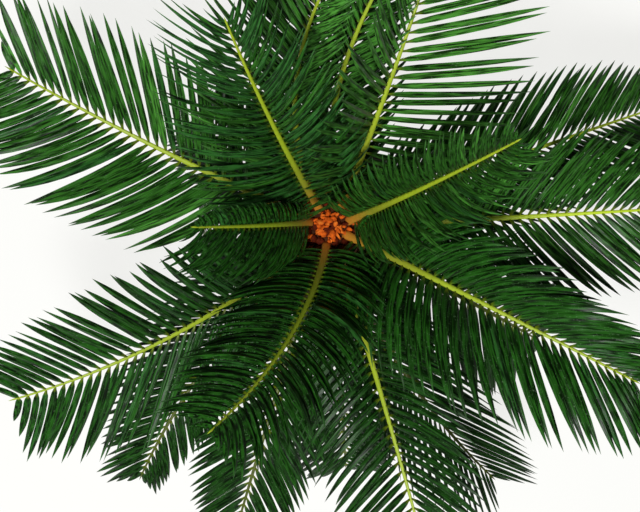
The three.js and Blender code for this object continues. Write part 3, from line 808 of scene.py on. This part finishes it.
def heading_at(frond, share):
    """Direction of the rib at a share of its length."""
    slope = math.radians(mixed(frond.rise, frond.fall, max(0, share) ** BEND_POWER))
    turn = math.radians(frond.skew + frond.sweep * max(0, share))
    return round_point(math.cos(slope), turn, math.sin(slope))


def rachis_of(frond):
    """The rib's centre line as evenly spaced points."""
    points = [Vector()]
    step = frond.length * MM / RACHIS_STEPS
    for i in range(RACHIS_STEPS):
        points.append(points[i] + heading_at(frond, (i + 0.5) / RACHIS_STEPS) * step)
    return points


def rib_place(frond, rachis, share):
    """Point, forward, right and up of the rib at a share of its length. Below 0 is inside the trunk."""
    forward = heading_at(frond, share)
    level = forward.cross(UP).normalized()
    steep = level.cross(forward)
    roll = math.radians(frond.roll) * max(0, min(1, share / PETIOLE_SHARE))
    right = level * math.cos(roll) + steep * math.sin(roll)
    up = steep * math.cos(roll) - level * math.sin(roll)
    if share < 0:
        return RibPlace(forward * (share * frond.length * MM), forward, right, up)
    step = min(int(share * RACHIS_STEPS), RACHIS_STEPS - 1)
    point = rachis[step].lerp(rachis[step + 1], share * RACHIS_STEPS - step)
    return RibPlace(point, forward, right, up)


def leaf_share(u):
    """Share of the full length that the leaflet at share u of the leafy stretch has.

    The first leaflets are shorter, and from the middle on they shorten again towards the last ones.
    """
    first, full_from = 0.7, 0.35
    loss, loss_from, loss_power = 0.42, 0.5, 1.5
    last, last_stretch = 0.25, 0.1
    growing = mixed(first, 1, math.sin(min(1, u / full_from) * math.pi / 2))
    fading = 1 - loss * max(0, (u - loss_from) / (1 - loss_from)) ** loss_power
    ending = min(1, last + (1 - u) / last_stretch)
    return growing * fading * ending


def spread_at(frond, u):
    """Angle between the rib and the leaflet at share u of the leafy stretch."""
    return math.radians(mixed(frond.open, frond.close, u**SPREAD_POWER))


def trunk_radius(height):
    """The trunk's smooth radius at a height above its foot."""
    total = TRUNK_TOP - TRUNK_FOOT
    flare = (TRUNK_FOOT_RADIUS - TRUNK_WAIST_RADIUS) * max(0, 1 - height / TRUNK_FLARE) ** 2
    shoulder = max(0, (height - total + TRUNK_SHOULDER) / TRUNK_SHOULDER)
    rounding = 1 - math.sqrt(max(0, 1 - min(1, shoulder) ** 2))
    return TRUNK_WAIST_RADIUS + flare - (TRUNK_WAIST_RADIUS - TRUNK_TOP_RADIUS) * rounding


def crown_height(distance):
    """Height of the tuft's dome, or of the trunk's shoulder round it, at a distance from the axis."""
    if distance < TUFT_RADIUS:
        return TRUNK_TOP + TUFT_DOME * (1 - (distance / TUFT_RADIUS) ** 2)
    drop = (TRUNK_WAIST_RADIUS - distance) / (TRUNK_WAIST_RADIUS - TRUNK_TOP_RADIUS)
    return TRUNK_TOP - TRUNK_SHOULDER * (1 - math.sqrt(1 - (1 - min(1, drop)) ** 2))


def pot_radius(height):
    """Radius of the pot's outside at a height."""
    return mixed(POT_FOOT_RADIUS, POT_RIM_RADIUS, height / POT_HEIGHT)


def is_clear(point):
    """Whether a point of a leaflet stays off the trunk, the tuft and the pot."""
    distance = math.hypot(point.x, point.y)
    clearance = 5 * MM
    if TRUNK_FOOT < point.z < TRUNK_TOP and distance < trunk_radius(point.z - TRUNK_FOOT) + clearance:
        return False
    if TRUNK_TOP <= point.z < TUFT_BOX[1].z + clearance and distance < TUFT_BOX[1].x + clearance:
        return False
    return not (point.z < POT_HEIGHT + clearance and distance < pot_radius(point.z) + 2 * clearance)


def arc_of(frond, place, start):
    """Bend direction and bend angle of a leaflet that leaves its station along start."""
    bend = UP * -LEAF_DROOP - place.up * frond.curl
    bend += place.forward * frond.sickle + place.right * frond.sway
    bend -= start * bend.dot(start)
    return bend.normalized(), bend.length


def stations_of(frond):
    """Places and rows of values for the leaflets of a frond, in the plant's frame."""
    leaves = bpy.context.scene.palm_leaves
    jitter = leaves.spread_jitter
    dice = random.Random(SEED + FRONDS.index(frond))
    matrix = seat_matrix(frond)
    turn = matrix.to_3x3()
    rachis = rachis_of(frond)
    leafy_length = frond.length * MM * (1 - PETIOLE_SHARE)
    spacing = leaves.leaf_spacing * min(1, frond.wide / USUAL_WIDTH_SHARE)
    pairs = round(leafy_length / spacing)
    places, rows = [], []
    for index in range(pairs):
        u = (index + 0.5) / pairs
        share = mixed(PETIOLE_SHARE, 1, u)
        place = rib_place(frond, rachis, share)
        room = leaves.leaf_spacing * math.sin(spread_at(frond, u))
        for side in (1, -1):
            spread = spread_at(frond, u) + side * math.radians(frond.lean)
            spread += dice.gauss(0, SPREAD_UNEVENNESS) * jitter
            lift = math.radians(frond.lift) + dice.gauss(0, LIFT_UNEVENNESS) * jitter
            outwards = place.right * (side * math.cos(lift)) + place.up * math.sin(lift)
            start = place.forward * math.cos(spread) + outwards * math.sin(spread)
            bend, angle = arc_of(frond, place, start)
            angle *= dice.uniform(*BEND_RANGE)
            full_length = leaves.leaf_length * frond.leaf * (1 + side * frond.bias) * leaf_share(u)
            full_length *= dice.uniform(*LENGTH_RANGE)
            twist = dice.uniform(*TWIST_RANGE)
            wide = dice.uniform(*WIDTH_RANGE) * frond.wide * min(1, ROOM_FILLED * room / leaves.leaf_width)
            shade = dice.random()
            tint = leaflet_tint(frond, dice)
            side_of_rib = place.right * (side * ROOT_SHARE * tapered(RIB_HALF_WIDTH, share))
            root = matrix @ (place.point + side_of_rib)
            start, bend = turn @ start, turn @ bend
            for length_share in LEAF_TRIES:
                reach = full_length * length_share / angle
                if leaflet_is_clear(root, start, bend, angle, reach):
                    places.append(root)
                    growth = (root, start, bend, turn @ place.forward, angle, reach, side, wide, twist)
                    rows.append(growth + (shade, tint))
                    break
    return places, rows


def leaflet_is_clear(root, start, bend, angle, reach):
    """Whether the outer part of a bent leaflet touches nothing."""
    for along in TESTED_SHARES:
        turned = angle * along
        point = root + start * (math.sin(turned) * reach) + bend * ((1 - math.cos(turned)) * reach)
        if not is_clear(point):
            return False
    return True


def leaflet_tint(frond, dice):
    """Mostly the frond's own green, with one leaflet in six taking a neighbour of it."""
    if dice.random() < 1 / 6:
        return max(0, min(len(GREENS) - 1, frond.tint + dice.choice((-1, 1))))
    return frond.tint


def strip_object(name, rows):
    """A flat closed strip. Each row gives its share along the leaflet, half width, fold and thickness.

    Its points hold their place on it as along, across and above, in shares of the leaflet's length and of
    its half width. The last row is the tip.
    """
    around = 4
    points = []
    for along, half, fold, thickness in rows[:-1]:
        section = ((-half, 0), (0, fold + thickness), (half, 0), (0, fold - thickness))
        points += [(along, across, above) for across, above in section]
    points.append((rows[-1][0], 0, 0))
    tip, last = len(points) - 1, len(points) - 1 - around
    faces = [(3, 2, 1, 0)] + ring_faces(len(rows) - 1, around)
    faces += [(last + k, last + (k + 1) % around, tip) for k in range(around)]
    mesh = mesh_from(name, points, faces)
    # The edges that run along it are sharp
    for edge in mesh.edges:
        a, b = (mesh.vertices[v].co for v in edge.vertices)
        edge.use_edge_sharp = abs(a.x - b.x) > 1e-6
    for number, field in enumerate(STRIP_FIELDS):
        store(mesh, field, "FLOAT", [vertex.co[number] for vertex in mesh.vertices])
    return new_object(name, mesh)


def leaf_strip():
    """A strap with parallel edges and a long point, folded along its middle, on a narrow thick foot."""
    fold = 0.5
    thickness, thinnest = 0.07, 0.4
    foot_thickness, foot_length = 0.2, 0.09
    # Share along the leaflet, and half width. Sections of equal width let it bend
    shape = (
        (0.0, 0.3),
        (0.03, 0.42),
        (0.08, 0.78),
        (0.18, 1.0),
        (0.32, 1.0),
        (0.46, 1.0),
        (0.6, 0.97),
        (0.72, 0.85),
        (0.83, 0.62),
        (0.93, 0.3),
        (1.0, 0.0),
    )
    rows = []
    for along, half in shape:
        blade = thickness * max(thinnest, half)
        rows.append((along, half, fold * half, mixed(foot_thickness, blade, min(1, along / foot_length))))
    return strip_object("leaf_strip", rows)


def rib_mesh(frond, finishes):
    """The rib of a frond: an oval stalk that runs out of the trunk and thins to a point."""
    steps, around = 60, 10
    point_share = 0.96
    matrix = seat_matrix(frond)
    rachis = rachis_of(frond)
    shares = [-ROOT_DEPTH / (frond.length * MM)] + [i / steps for i in range(steps + 1)]
    rings = []
    for share in shares:
        place = rib_place(frond, rachis, share)
        wide = tapered(RIB_HALF_WIDTH, max(0, share))
        high = tapered(RIB_HALF_HEIGHT, max(0, share))
        ring = []
        for angle in turns(around):
            across = place.right * (wide * math.cos(angle)) + place.up * (high * math.sin(angle))
            ring.append(matrix @ (place.point + across))
        rings.append(ring)
    end = rib_place(frond, rachis, 1.0)
    tip = matrix @ (end.point + end.forward * TIP_LENGTH)
    rings.append([mixed(point, tip, point_share) for point in rings[-1]])
    mesh = ringed_mesh(frond.node + "_rib", rings, finishes)
    store(mesh, "rib_share", "FLOAT", [share for share in shares + [1.0] for _ in range(around)])
    return mesh


class PALM_OT_stage(bpy.types.Operator):
    """Make the floor, the lights and the camera"""

    bl_idname = "palm.stage"
    bl_label = "Stage"

    def execute(self, context):
        stage = context.scene.palm_stage
        camera = new_object("camera", bpy.data.cameras.new("camera"))
        camera.location = CAMERA_PLACE
        camera.data.lens = CAMERA_LENS
        camera.data.sensor_width = CAMERA_SENSOR
        camera.data.clip_end = CAMERA_SIGHT
        context.scene.camera = camera

        floor = new_object("floor", self.floor_mesh(stage.floor_size))
        floor.data.materials.append(self.floor_finish(stage))

        # Name, place, side of its square and power of each light
        lights = (
            ("key_light", (-0.4, -0.9, 2.9), 0.5, stage.key_power),
            ("right_light", (2.2, 0.5, 1.4), 1.4, stage.side_power),
            ("left_light", (-2.2, 0.2, 1.2), 1.4, stage.side_power),
        )
        crown_middle = Vector((0, 0, 0.35))
        for name, place, size, power in lights:
            lamp = bpy.data.lights.new(name, "AREA")
            lamp.shape = "SQUARE"
            lamp.size = size
            lamp.energy = power
            light = new_object(name, lamp)
            light.location = place
            aim = crown_middle - Vector(place)
            light.rotation_euler = aim.to_track_quat("-Z", "Y").to_euler()

        context.scene.world = self.pale_room(stage)
        context.scene.view_settings.view_transform = "Standard"
        return {"FINISHED"}

    def pale_room(self, stage):
        """A room that looks as pale as the floor, and gives the plant only a little light."""
        world = bpy.data.worlds.new("pale_room")
        world.use_nodes = True
        tree = world.node_tree
        tree.nodes.clear()
        seen = add_node(tree, "ShaderNodeLightPath").outputs["Is Camera Ray"]
        strength = add_node(
            tree, "ShaderNodeMapRange", {0: seen, 3: stage.room_light, 4: stage.floor_glow}
        )
        room = add_node(tree, "ShaderNodeBackground", {"Color": stage.floor_colour, "Strength": strength})
        add_node(tree, "ShaderNodeOutputWorld", {"Surface": room})
        return world

    def floor_mesh(self, size):
        half = size / 2
        corners = [(-half, -half, 0), (half, -half, 0), (half, half, 0), (-half, half, 0)]
        mesh = bpy.data.meshes.new("floor")
        mesh.from_pydata(corners, [], [(0, 1, 2, 3)])
        return mesh

    def floor_finish(self, stage):
        """Opal acrylic shooting table, sanded matte and lit from below, which keeps shadows faint."""
        # The sheet throws back little light of its own beside its glow
        sheet_share = 0.15
        return close_material(
            new_material("Opal acrylic floor"),
            {
                "Base Color": toned(stage.floor_colour, sheet_share),
                "Roughness": 0.9,
                "Emission Color": stage.floor_colour,
                "Emission Strength": stage.floor_glow,
            },
        )


class PALM_OT_pot(bpy.types.Operator):
    """Make the round stoneware pot"""

    bl_idname = "palm.pot"
    bl_label = "Pot"

    def execute(self, context):
        corner_radius = 3.5 * MM
        lip_foot = POT_HEIGHT - POT_LIP_HEIGHT
        lip_radius = POT_RIM_RADIUS + POT_LIP_PROUD
        outside = [
            (0, 0),
            (POT_FOOT_RADIUS - POT_FOOT_BEVEL, 0),
            (pot_radius(POT_FOOT_BEVEL), POT_FOOT_BEVEL),
            (pot_radius(lip_foot), lip_foot),
            (lip_radius, lip_foot + POT_LIP_PROUD),
            (lip_radius, POT_HEIGHT),
        ]
        inside = [
            (pot_radius(POT_HEIGHT) - POT_WALL, POT_HEIGHT),
            (pot_radius(POT_FLOOR) - POT_WALL, POT_FLOOR),
            (0, POT_FLOOR),
        ]
        profile = rounded(outside + inside, corner_radius)
        segments = context.scene.palm_pot.pot_segments
        pot = new_object("pot_body", turned_mesh("pot_body", profile, segments, [speckled_stoneware()]))
        dress(pot, "pot", "pot")
        return {"FINISHED"}


class PALM_OT_soil(bpy.types.Operator):
    """Fill the pot, with loose bark on top"""

    bl_idname = "palm.soil"
    bl_label = "Soil"

    def execute(self, context):
        pot = context.scene.palm_pot
        foot, edge, segments = SOIL_BOX[0].z, SOIL_TOP - SOIL_CROWN, 64
        middle = SOIL_TOP - PEAT_UNDER_CHIPS
        wall_gap = POT_WALL + 0.3 * MM
        profile = [
            (0, foot),
            (pot_radius(foot) - wall_gap, foot),
            (pot_radius(edge) - wall_gap, edge),
            (TRUNK_FOOT_RADIUS + 8 * MM, middle),
            (0, middle),
        ]
        peat = mottled("Peat and fibre", toned(pot.peat, 1.5), toned(pot.peat, 0.6), 9 * MM, 1.2 * MM, 0.92)
        bed = new_object("soil_bed", turned_mesh("soil_bed", rounded(profile, 2 * MM), segments, [peat]))
        dress(bed, "soil", "soil")

        bark, dry = pot.bark, pot.bark_light
        grain = (4 * MM, 0.8 * MM)
        finishes = [
            mottled("Composted bark", toned(bark, 1.3), toned(bark, 0.6), *grain, 0.85),
            mottled("Dry bark", toned(dry, 1.2), toned(dry, 0.6), *grain, 0.85),
            mottled("Wet bark", toned(bark, 0.7), toned(bark, 0.35), *grain, 0.7),
        ]
        inner, outer = TRUNK_FOOT_RADIUS + 4 * MM, pot_radius(edge) - wall_gap - 6 * MM
        places, rows = self.scattered_chips(pot.chips, inner, outer)
        copied_piece("soil_bark_chips", "soil", self.chip_mesh(), CHIP_LENGTH, finishes, places, rows)
        return {"FINISHED"}

    def scattered_chips(self, count, inner, outer):
        """Places and rows for chips that lie nearly flat on a ring round the trunk."""
        dice = random.Random(CHIP_SEED)
        places, rows = [], []
        for _ in range(count):
            radius = math.sqrt(mixed(inner**2, outer**2, dice.random()))
            angle = dice.uniform(0, 2 * math.pi)
            slope_share = max(0, radius - inner) / (outer - inner)
            height = mixed(SOIL_TOP, SOIL_TOP - SOIL_CROWN, slope_share) + dice.uniform(-1, 1.6) * MM
            places.append(round_point(radius, angle, height))
            lean = Quaternion(round_point(1, angle * 3), dice.gauss(0, 0.28))
            size = Vector((dice.uniform(0.6, 1.5), dice.uniform(0.55, 1.2), dice.uniform(0.5, 1.3)))
            turn = lean @ Quaternion(UP, dice.uniform(0, 2 * math.pi))
            rows.append((turn, size, dice.choice((0, 0, 0, 1, 2))))
        return places, rows

    def chip_mesh(self):
        """A flake of bark with broken edges, one unit long."""
        outline = ((-0.5, -0.2), (-0.1, -0.34), (0.42, -0.26), (0.5, 0.1), (0.12, 0.32), (-0.4, 0.24))
        low = [(x, y, -0.1) for x, y in outline]
        high = [(x * 0.84, y * 0.8, 0.1 + 0.05 * (i % 3 - 1)) for i, (x, y) in enumerate(outline)]
        return ringed_mesh("chip_shape", [low, high])


class PALM_OT_trunk(bpy.types.Operator):
    """Make the scaly trunk"""

    bl_idname = "palm.trunk"
    bl_label = "Trunk"

    def execute(self, context):
        trunk = context.scene.palm_trunk
        rows, segments = 36, 56
        heights = [(TRUNK_TOP - TRUNK_FOOT) * row / rows for row in range(rows + 1)]
        profile = [(0, TRUNK_FOOT)]
        profile += [(trunk_radius(h) - CORE_DEPTH, TRUNK_FOOT + h) for h in heights]
        profile += [(0, TRUNK_TOP)]
        dark = trunk.trunk_dark
        shadow = mottled("Moulded foam core", toned(dark, 1.4), toned(dark, 0.6), 7 * MM, 1 * MM, 0.95)
        core = new_object("trunk_core", turned_mesh("trunk_core", profile, segments, [shadow]))
        dress(core, "trunk", "trunk")

        brown = trunk.trunk_brown
        relief, rough = 0.9 * MM, 0.85
        finishes = [
            mottled("Moulded leaf base, brown", toned(brown, 1.4), toned(brown, 0.6), 6 * MM, relief, rough),
            mottled("Moulded leaf base, dark", toned(brown, 0.9), toned(brown, 0.4), 6 * MM, relief, rough),
            mottled("Moulded leaf base, rust", trunk.rust, trunk.rust_dark, 5 * MM, relief, rough),
        ]
        places, values = self.rows_of_bases(trunk.scales_around)
        copied_piece("trunk_leaf_bases", "trunk", self.leaf_base_mesh(), MM, finishes, places, values)
        return {"FINISHED"}

    def rows_of_bases(self, around):
        """Places and rows of values for leaf bases, which overlap and turn to rust towards the shoulder."""
        dice = random.Random(LEAF_BASE_SEED)
        total = TRUNK_TOP - TRUNK_FOOT
        first_row, row_gap, bare_top = 5.5 * MM, 10.5 * MM, 4 * MM
        most_rust, shoulder_squeeze = 0.7, 0.55
        places, values = [], []
        row, height = 0, first_row
        while height < total - bare_top:
            radius = trunk_radius(height) - CORE_DEPTH
            slope = (trunk_radius(height + 1 * MM) - trunk_radius(height - 1 * MM)) / (2 * MM)
            for k in range(around):
                angle = 2 * math.pi * (k + 0.5 * (row % 2)) / around + dice.gauss(0, 0.02)
                outwards = round_point(1, angle, -slope).normalized()
                across = Vector((-math.sin(angle), math.cos(angle), 0))
                upwards = outwards.cross(across)
                turn = Matrix((across, upwards, outwards)).transposed().to_quaternion()
                width = 2 * math.pi * radius / around
                tall, deep = row_gap * dice.uniform(1.9, 2.1), dice.uniform(3.6, 4.6) * MM
                size = Vector((width * 1.04, tall, deep)) / MM
                lift = TRUNK_FOOT + height + dice.gauss(0, 0.5) * MM
                places.append(round_point(radius, angle, lift))
                rust_chance = smooth((height - total + TRUNK_SHOULDER) / TRUNK_SHOULDER) * most_rust
                tint = 2 if dice.random() < rust_chance else dice.choice((0, 0, 1))
                values.append((turn, size, tint))
            height += row_gap * (shoulder_squeeze if height > total - TRUNK_SHOULDER * 0.6 else 1)
            row += 1
        return places, values

    def leaf_base_mesh(self):
        """The stub of an old leaf: a lozenge with a raised, worn scar, one unit wide, high and deep."""
        outline = [(math.cos(angle), math.sin(angle)) for angle in turns(8)]
        lozenge = [(x * 0.5 * (1 - 0.24 * abs(y)), y * 0.5 * (1 - 0.24 * abs(x))) for x, y in outline]
        foot = [(x, y, -0.2) for x, y in lozenge]
        edge = [(x * 0.94, y * 0.94, 0.32) for x, y in lozenge]
        lip = [(x * 0.6, y * 0.5 + 0.06, 1.0 - 0.25 * (y < 0)) for x, y in lozenge]
        scar = [(x * 0.34, y * 0.28 + 0.06, 0.72) for x, y in lozenge]
        return ringed_mesh("leaf_base_shape", [foot, edge, lip, scar])


class PALM_OT_tuft(bpy.types.Operator):
    """Make the rust-coloured tuft at the crown, and the fibre that the stalks come out of"""

    bl_idname = "palm.tuft"
    bl_label = "Crown tuft"

    def execute(self, context):
        trunk = context.scene.palm_trunk
        foot = TUFT_BOX[0].z
        steps, segments, core_share = 8, 32, 0.92
        profile = [(0, foot)]
        for step in range(steps):
            angle = math.pi / 2 * step / steps
            profile.append((TUFT_RADIUS * core_share * math.cos(angle), foot + TUFT_DOME * math.sin(angle)))
        profile.append((0, foot + TUFT_DOME))
        dark = toned(trunk.rust_dark, 0.5)
        core_finish = mottled("Moulded tuft core", trunk.rust_dark, dark, 4 * MM, 0.8 * MM, 0.9)
        core_mesh = turned_mesh("crown_tuft_core", profile, segments, [core_finish])
        dress(new_object("crown_tuft_core", core_mesh), "crown_tuft", "crown_tuft")

        rust, light = toned(trunk.rust, 0.6), toned(trunk.rust_light, 1.1)
        fibre = (3 * MM, 0.6 * MM, 0.85)
        finishes = [
            mottled("Dyed fibre, rust", toned(trunk.rust, 1.2), rust, *fibre),
            mottled("Dyed fibre, light rust", light, trunk.rust, *fibre),
            mottled("Dyed fibre, dark rust", trunk.rust_dark, dark, *fibre),
        ]
        dice = random.Random(LUMP_SEED)
        # Node, number of lumps, the ring that they lie in, and the finishes that they draw from
        fibres = (
            ("crown_tuft", trunk.lumps, 0, TUFT_RADIUS, (0, 0, 0, 1, 1, 2)),
            ("trunk", trunk.shoulder_lumps, TUFT_RADIUS, TUFT_SKIRT, (0, 0, 2, 2)),
        )
        for node, count, inner, outer, tints in fibres:
            places, rows = self.scattered_lumps(dice, count, inner, outer, tints)
            copied_piece(node + "_fibre", node, self.lump_mesh(), MM, finishes, places, rows)
        return {"FINISHED"}

    def scattered_lumps(self, dice, count, inner, outer, tints):
        """Places and rows for lumps that lie anyhow on the dome and the trunk's shoulder."""
        sunk = 2 * MM
        places, rows = [], []
        for _ in range(count):
            distance = math.sqrt(mixed(inner**2, outer**2, dice.random()))
            angle = dice.uniform(0, 2 * math.pi)
            outwards = round_point(1, angle)
            lean = Quaternion(UP.cross(outwards), dice.gauss(0.7, 0.5))
            turn = lean @ Quaternion(UP, dice.uniform(0, 2 * math.pi))
            thick = dice.uniform(7, 13)
            size = Vector((thick * dice.uniform(0.5, 0.9), thick, dice.uniform(6, 11)))
            places.append(outwards * distance + UP * (crown_height(distance) - sunk))
            rows.append((turn, size, dice.choice(tints)))
        return places, rows

    def lump_mesh(self):
        """A blunt, broken scale of fibre, one unit long and about one wide."""
        uneven = (0.5, 0.38, 0.47, 0.33, 0.52, 0.41)
        rings = []
        for height, wide, shift in ((0, 0.9, 0), (0.4, 1.1, 0.04), (0.8, 0.75, 0.16), (1, 0.3, 0.3)):
            ring = []
            for k, angle in enumerate(turns(len(uneven))):
                ring.append(round_point(uneven[k] * wide, angle, height + 0.1 * (k % 2)))
                ring[k].x += shift
            rings.append(ring)
        return ringed_mesh("lump_shape", rings)


class PALM_OT_leaflets(bpy.types.Operator):
    """Grow the leaflets of every frond"""

    bl_idname = "palm.leaflets"
    bl_label = "Leaflets"

    def execute(self, context):
        strip = leaf_strip()
        tree = leaflet_tree("Leaflets along a rib", leaf_finishes())
        half_width = context.scene.palm_leaves.leaf_width / 2
        seen_by_finish = ("along", "across", "shade")
        for frond in FRONDS:
            name = frond.node + "_leaflets"
            stations = point_mesh(name + "_stations", *stations_of(frond), STATION_FIELDS)
            piece = grown_piece(name, stations, tree, seen_by_finish, Strip=strip, Half_width=half_width)
            dress(piece, "frond", frond.node)
        remove_helper(strip)
        return {"FINISHED"}


class PALM_OT_ribs(bpy.types.Operator):
    """Make the painted rib of every frond"""

    bl_idname = "palm.ribs"
    bl_label = "Ribs"

    def execute(self, context):
        # One paint in three tones: plain, lighter as painted light on ribs that lie in shade, and darker as
        # painted shade on the low fronds
        plain = painted_rib("Painted polyethylene rib", 1.0)
        painted_light = painted_rib("Painted polyethylene rib, fresh", 1.7)
        painted_shade = painted_rib("Painted polyethylene rib, dull", 0.22)
        for frond in FRONDS:
            finish = painted_shade if frond.node.startswith("lower") else plain
            if frond.node in PAINTED_LIGHT_RIBS:
                finish = painted_light
            rib = new_object(frond.node + "_rib", rib_mesh(frond, [finish]))
            dress(rib, "frond", frond.node)
        return {"FINISHED"}


class PALM_PT_panel(bpy.types.Panel):
    """Lists the steps that make the palm"""

    bl_idname = "PALM_PT_panel"
    bl_label = "Potted sago palm"
    bl_space_type = "VIEW_3D"
    bl_region_type = "UI"
    bl_category = "Palm"

    def draw(self, context):
        for operator in OPERATORS:
            self.layout.operator(operator.bl_idname)
        for name in SETTINGS:
            box = self.layout.box()
            group = getattr(context.scene, name)
            for setting in group.__annotations__:
                box.prop(group, setting)


OPERATORS = (
    PALM_OT_stage,
    PALM_OT_pot,
    PALM_OT_soil,
    PALM_OT_trunk,
    PALM_OT_tuft,
    PALM_OT_leaflets,
    PALM_OT_ribs,
)
SETTINGS = {
    "palm_leaves": PalmLeaves,
    "palm_trunk": PalmTrunk,
    "palm_pot": PalmPot,
    "palm_stage": PalmStage,
}


def register():
    for settings_class in SETTINGS.values():
        bpy.utils.register_class(settings_class)
    for name, settings_class in SETTINGS.items():
        setattr(bpy.types.Scene, name, PointerProperty(type=settings_class))
    for operator in OPERATORS:
        bpy.utils.register_class(operator)
    bpy.utils.register_class(PALM_PT_panel)


def unregister():
    bpy.utils.unregister_class(PALM_PT_panel)
    for operator in reversed(OPERATORS):
        bpy.utils.unregister_class(operator)
    for name, settings_class in SETTINGS.items():
        delattr(bpy.types.Scene, name)
        bpy.utils.unregister_class(settings_class)


def main():
    register()
    bpy.ops.palm.stage()
    bpy.ops.palm.pot()
    bpy.ops.palm.soil()
    bpy.ops.palm.trunk()
    bpy.ops.palm.tuft()
    bpy.ops.palm.leaflets()
    bpy.ops.palm.ribs()


if __name__ == "__main__":
    main()
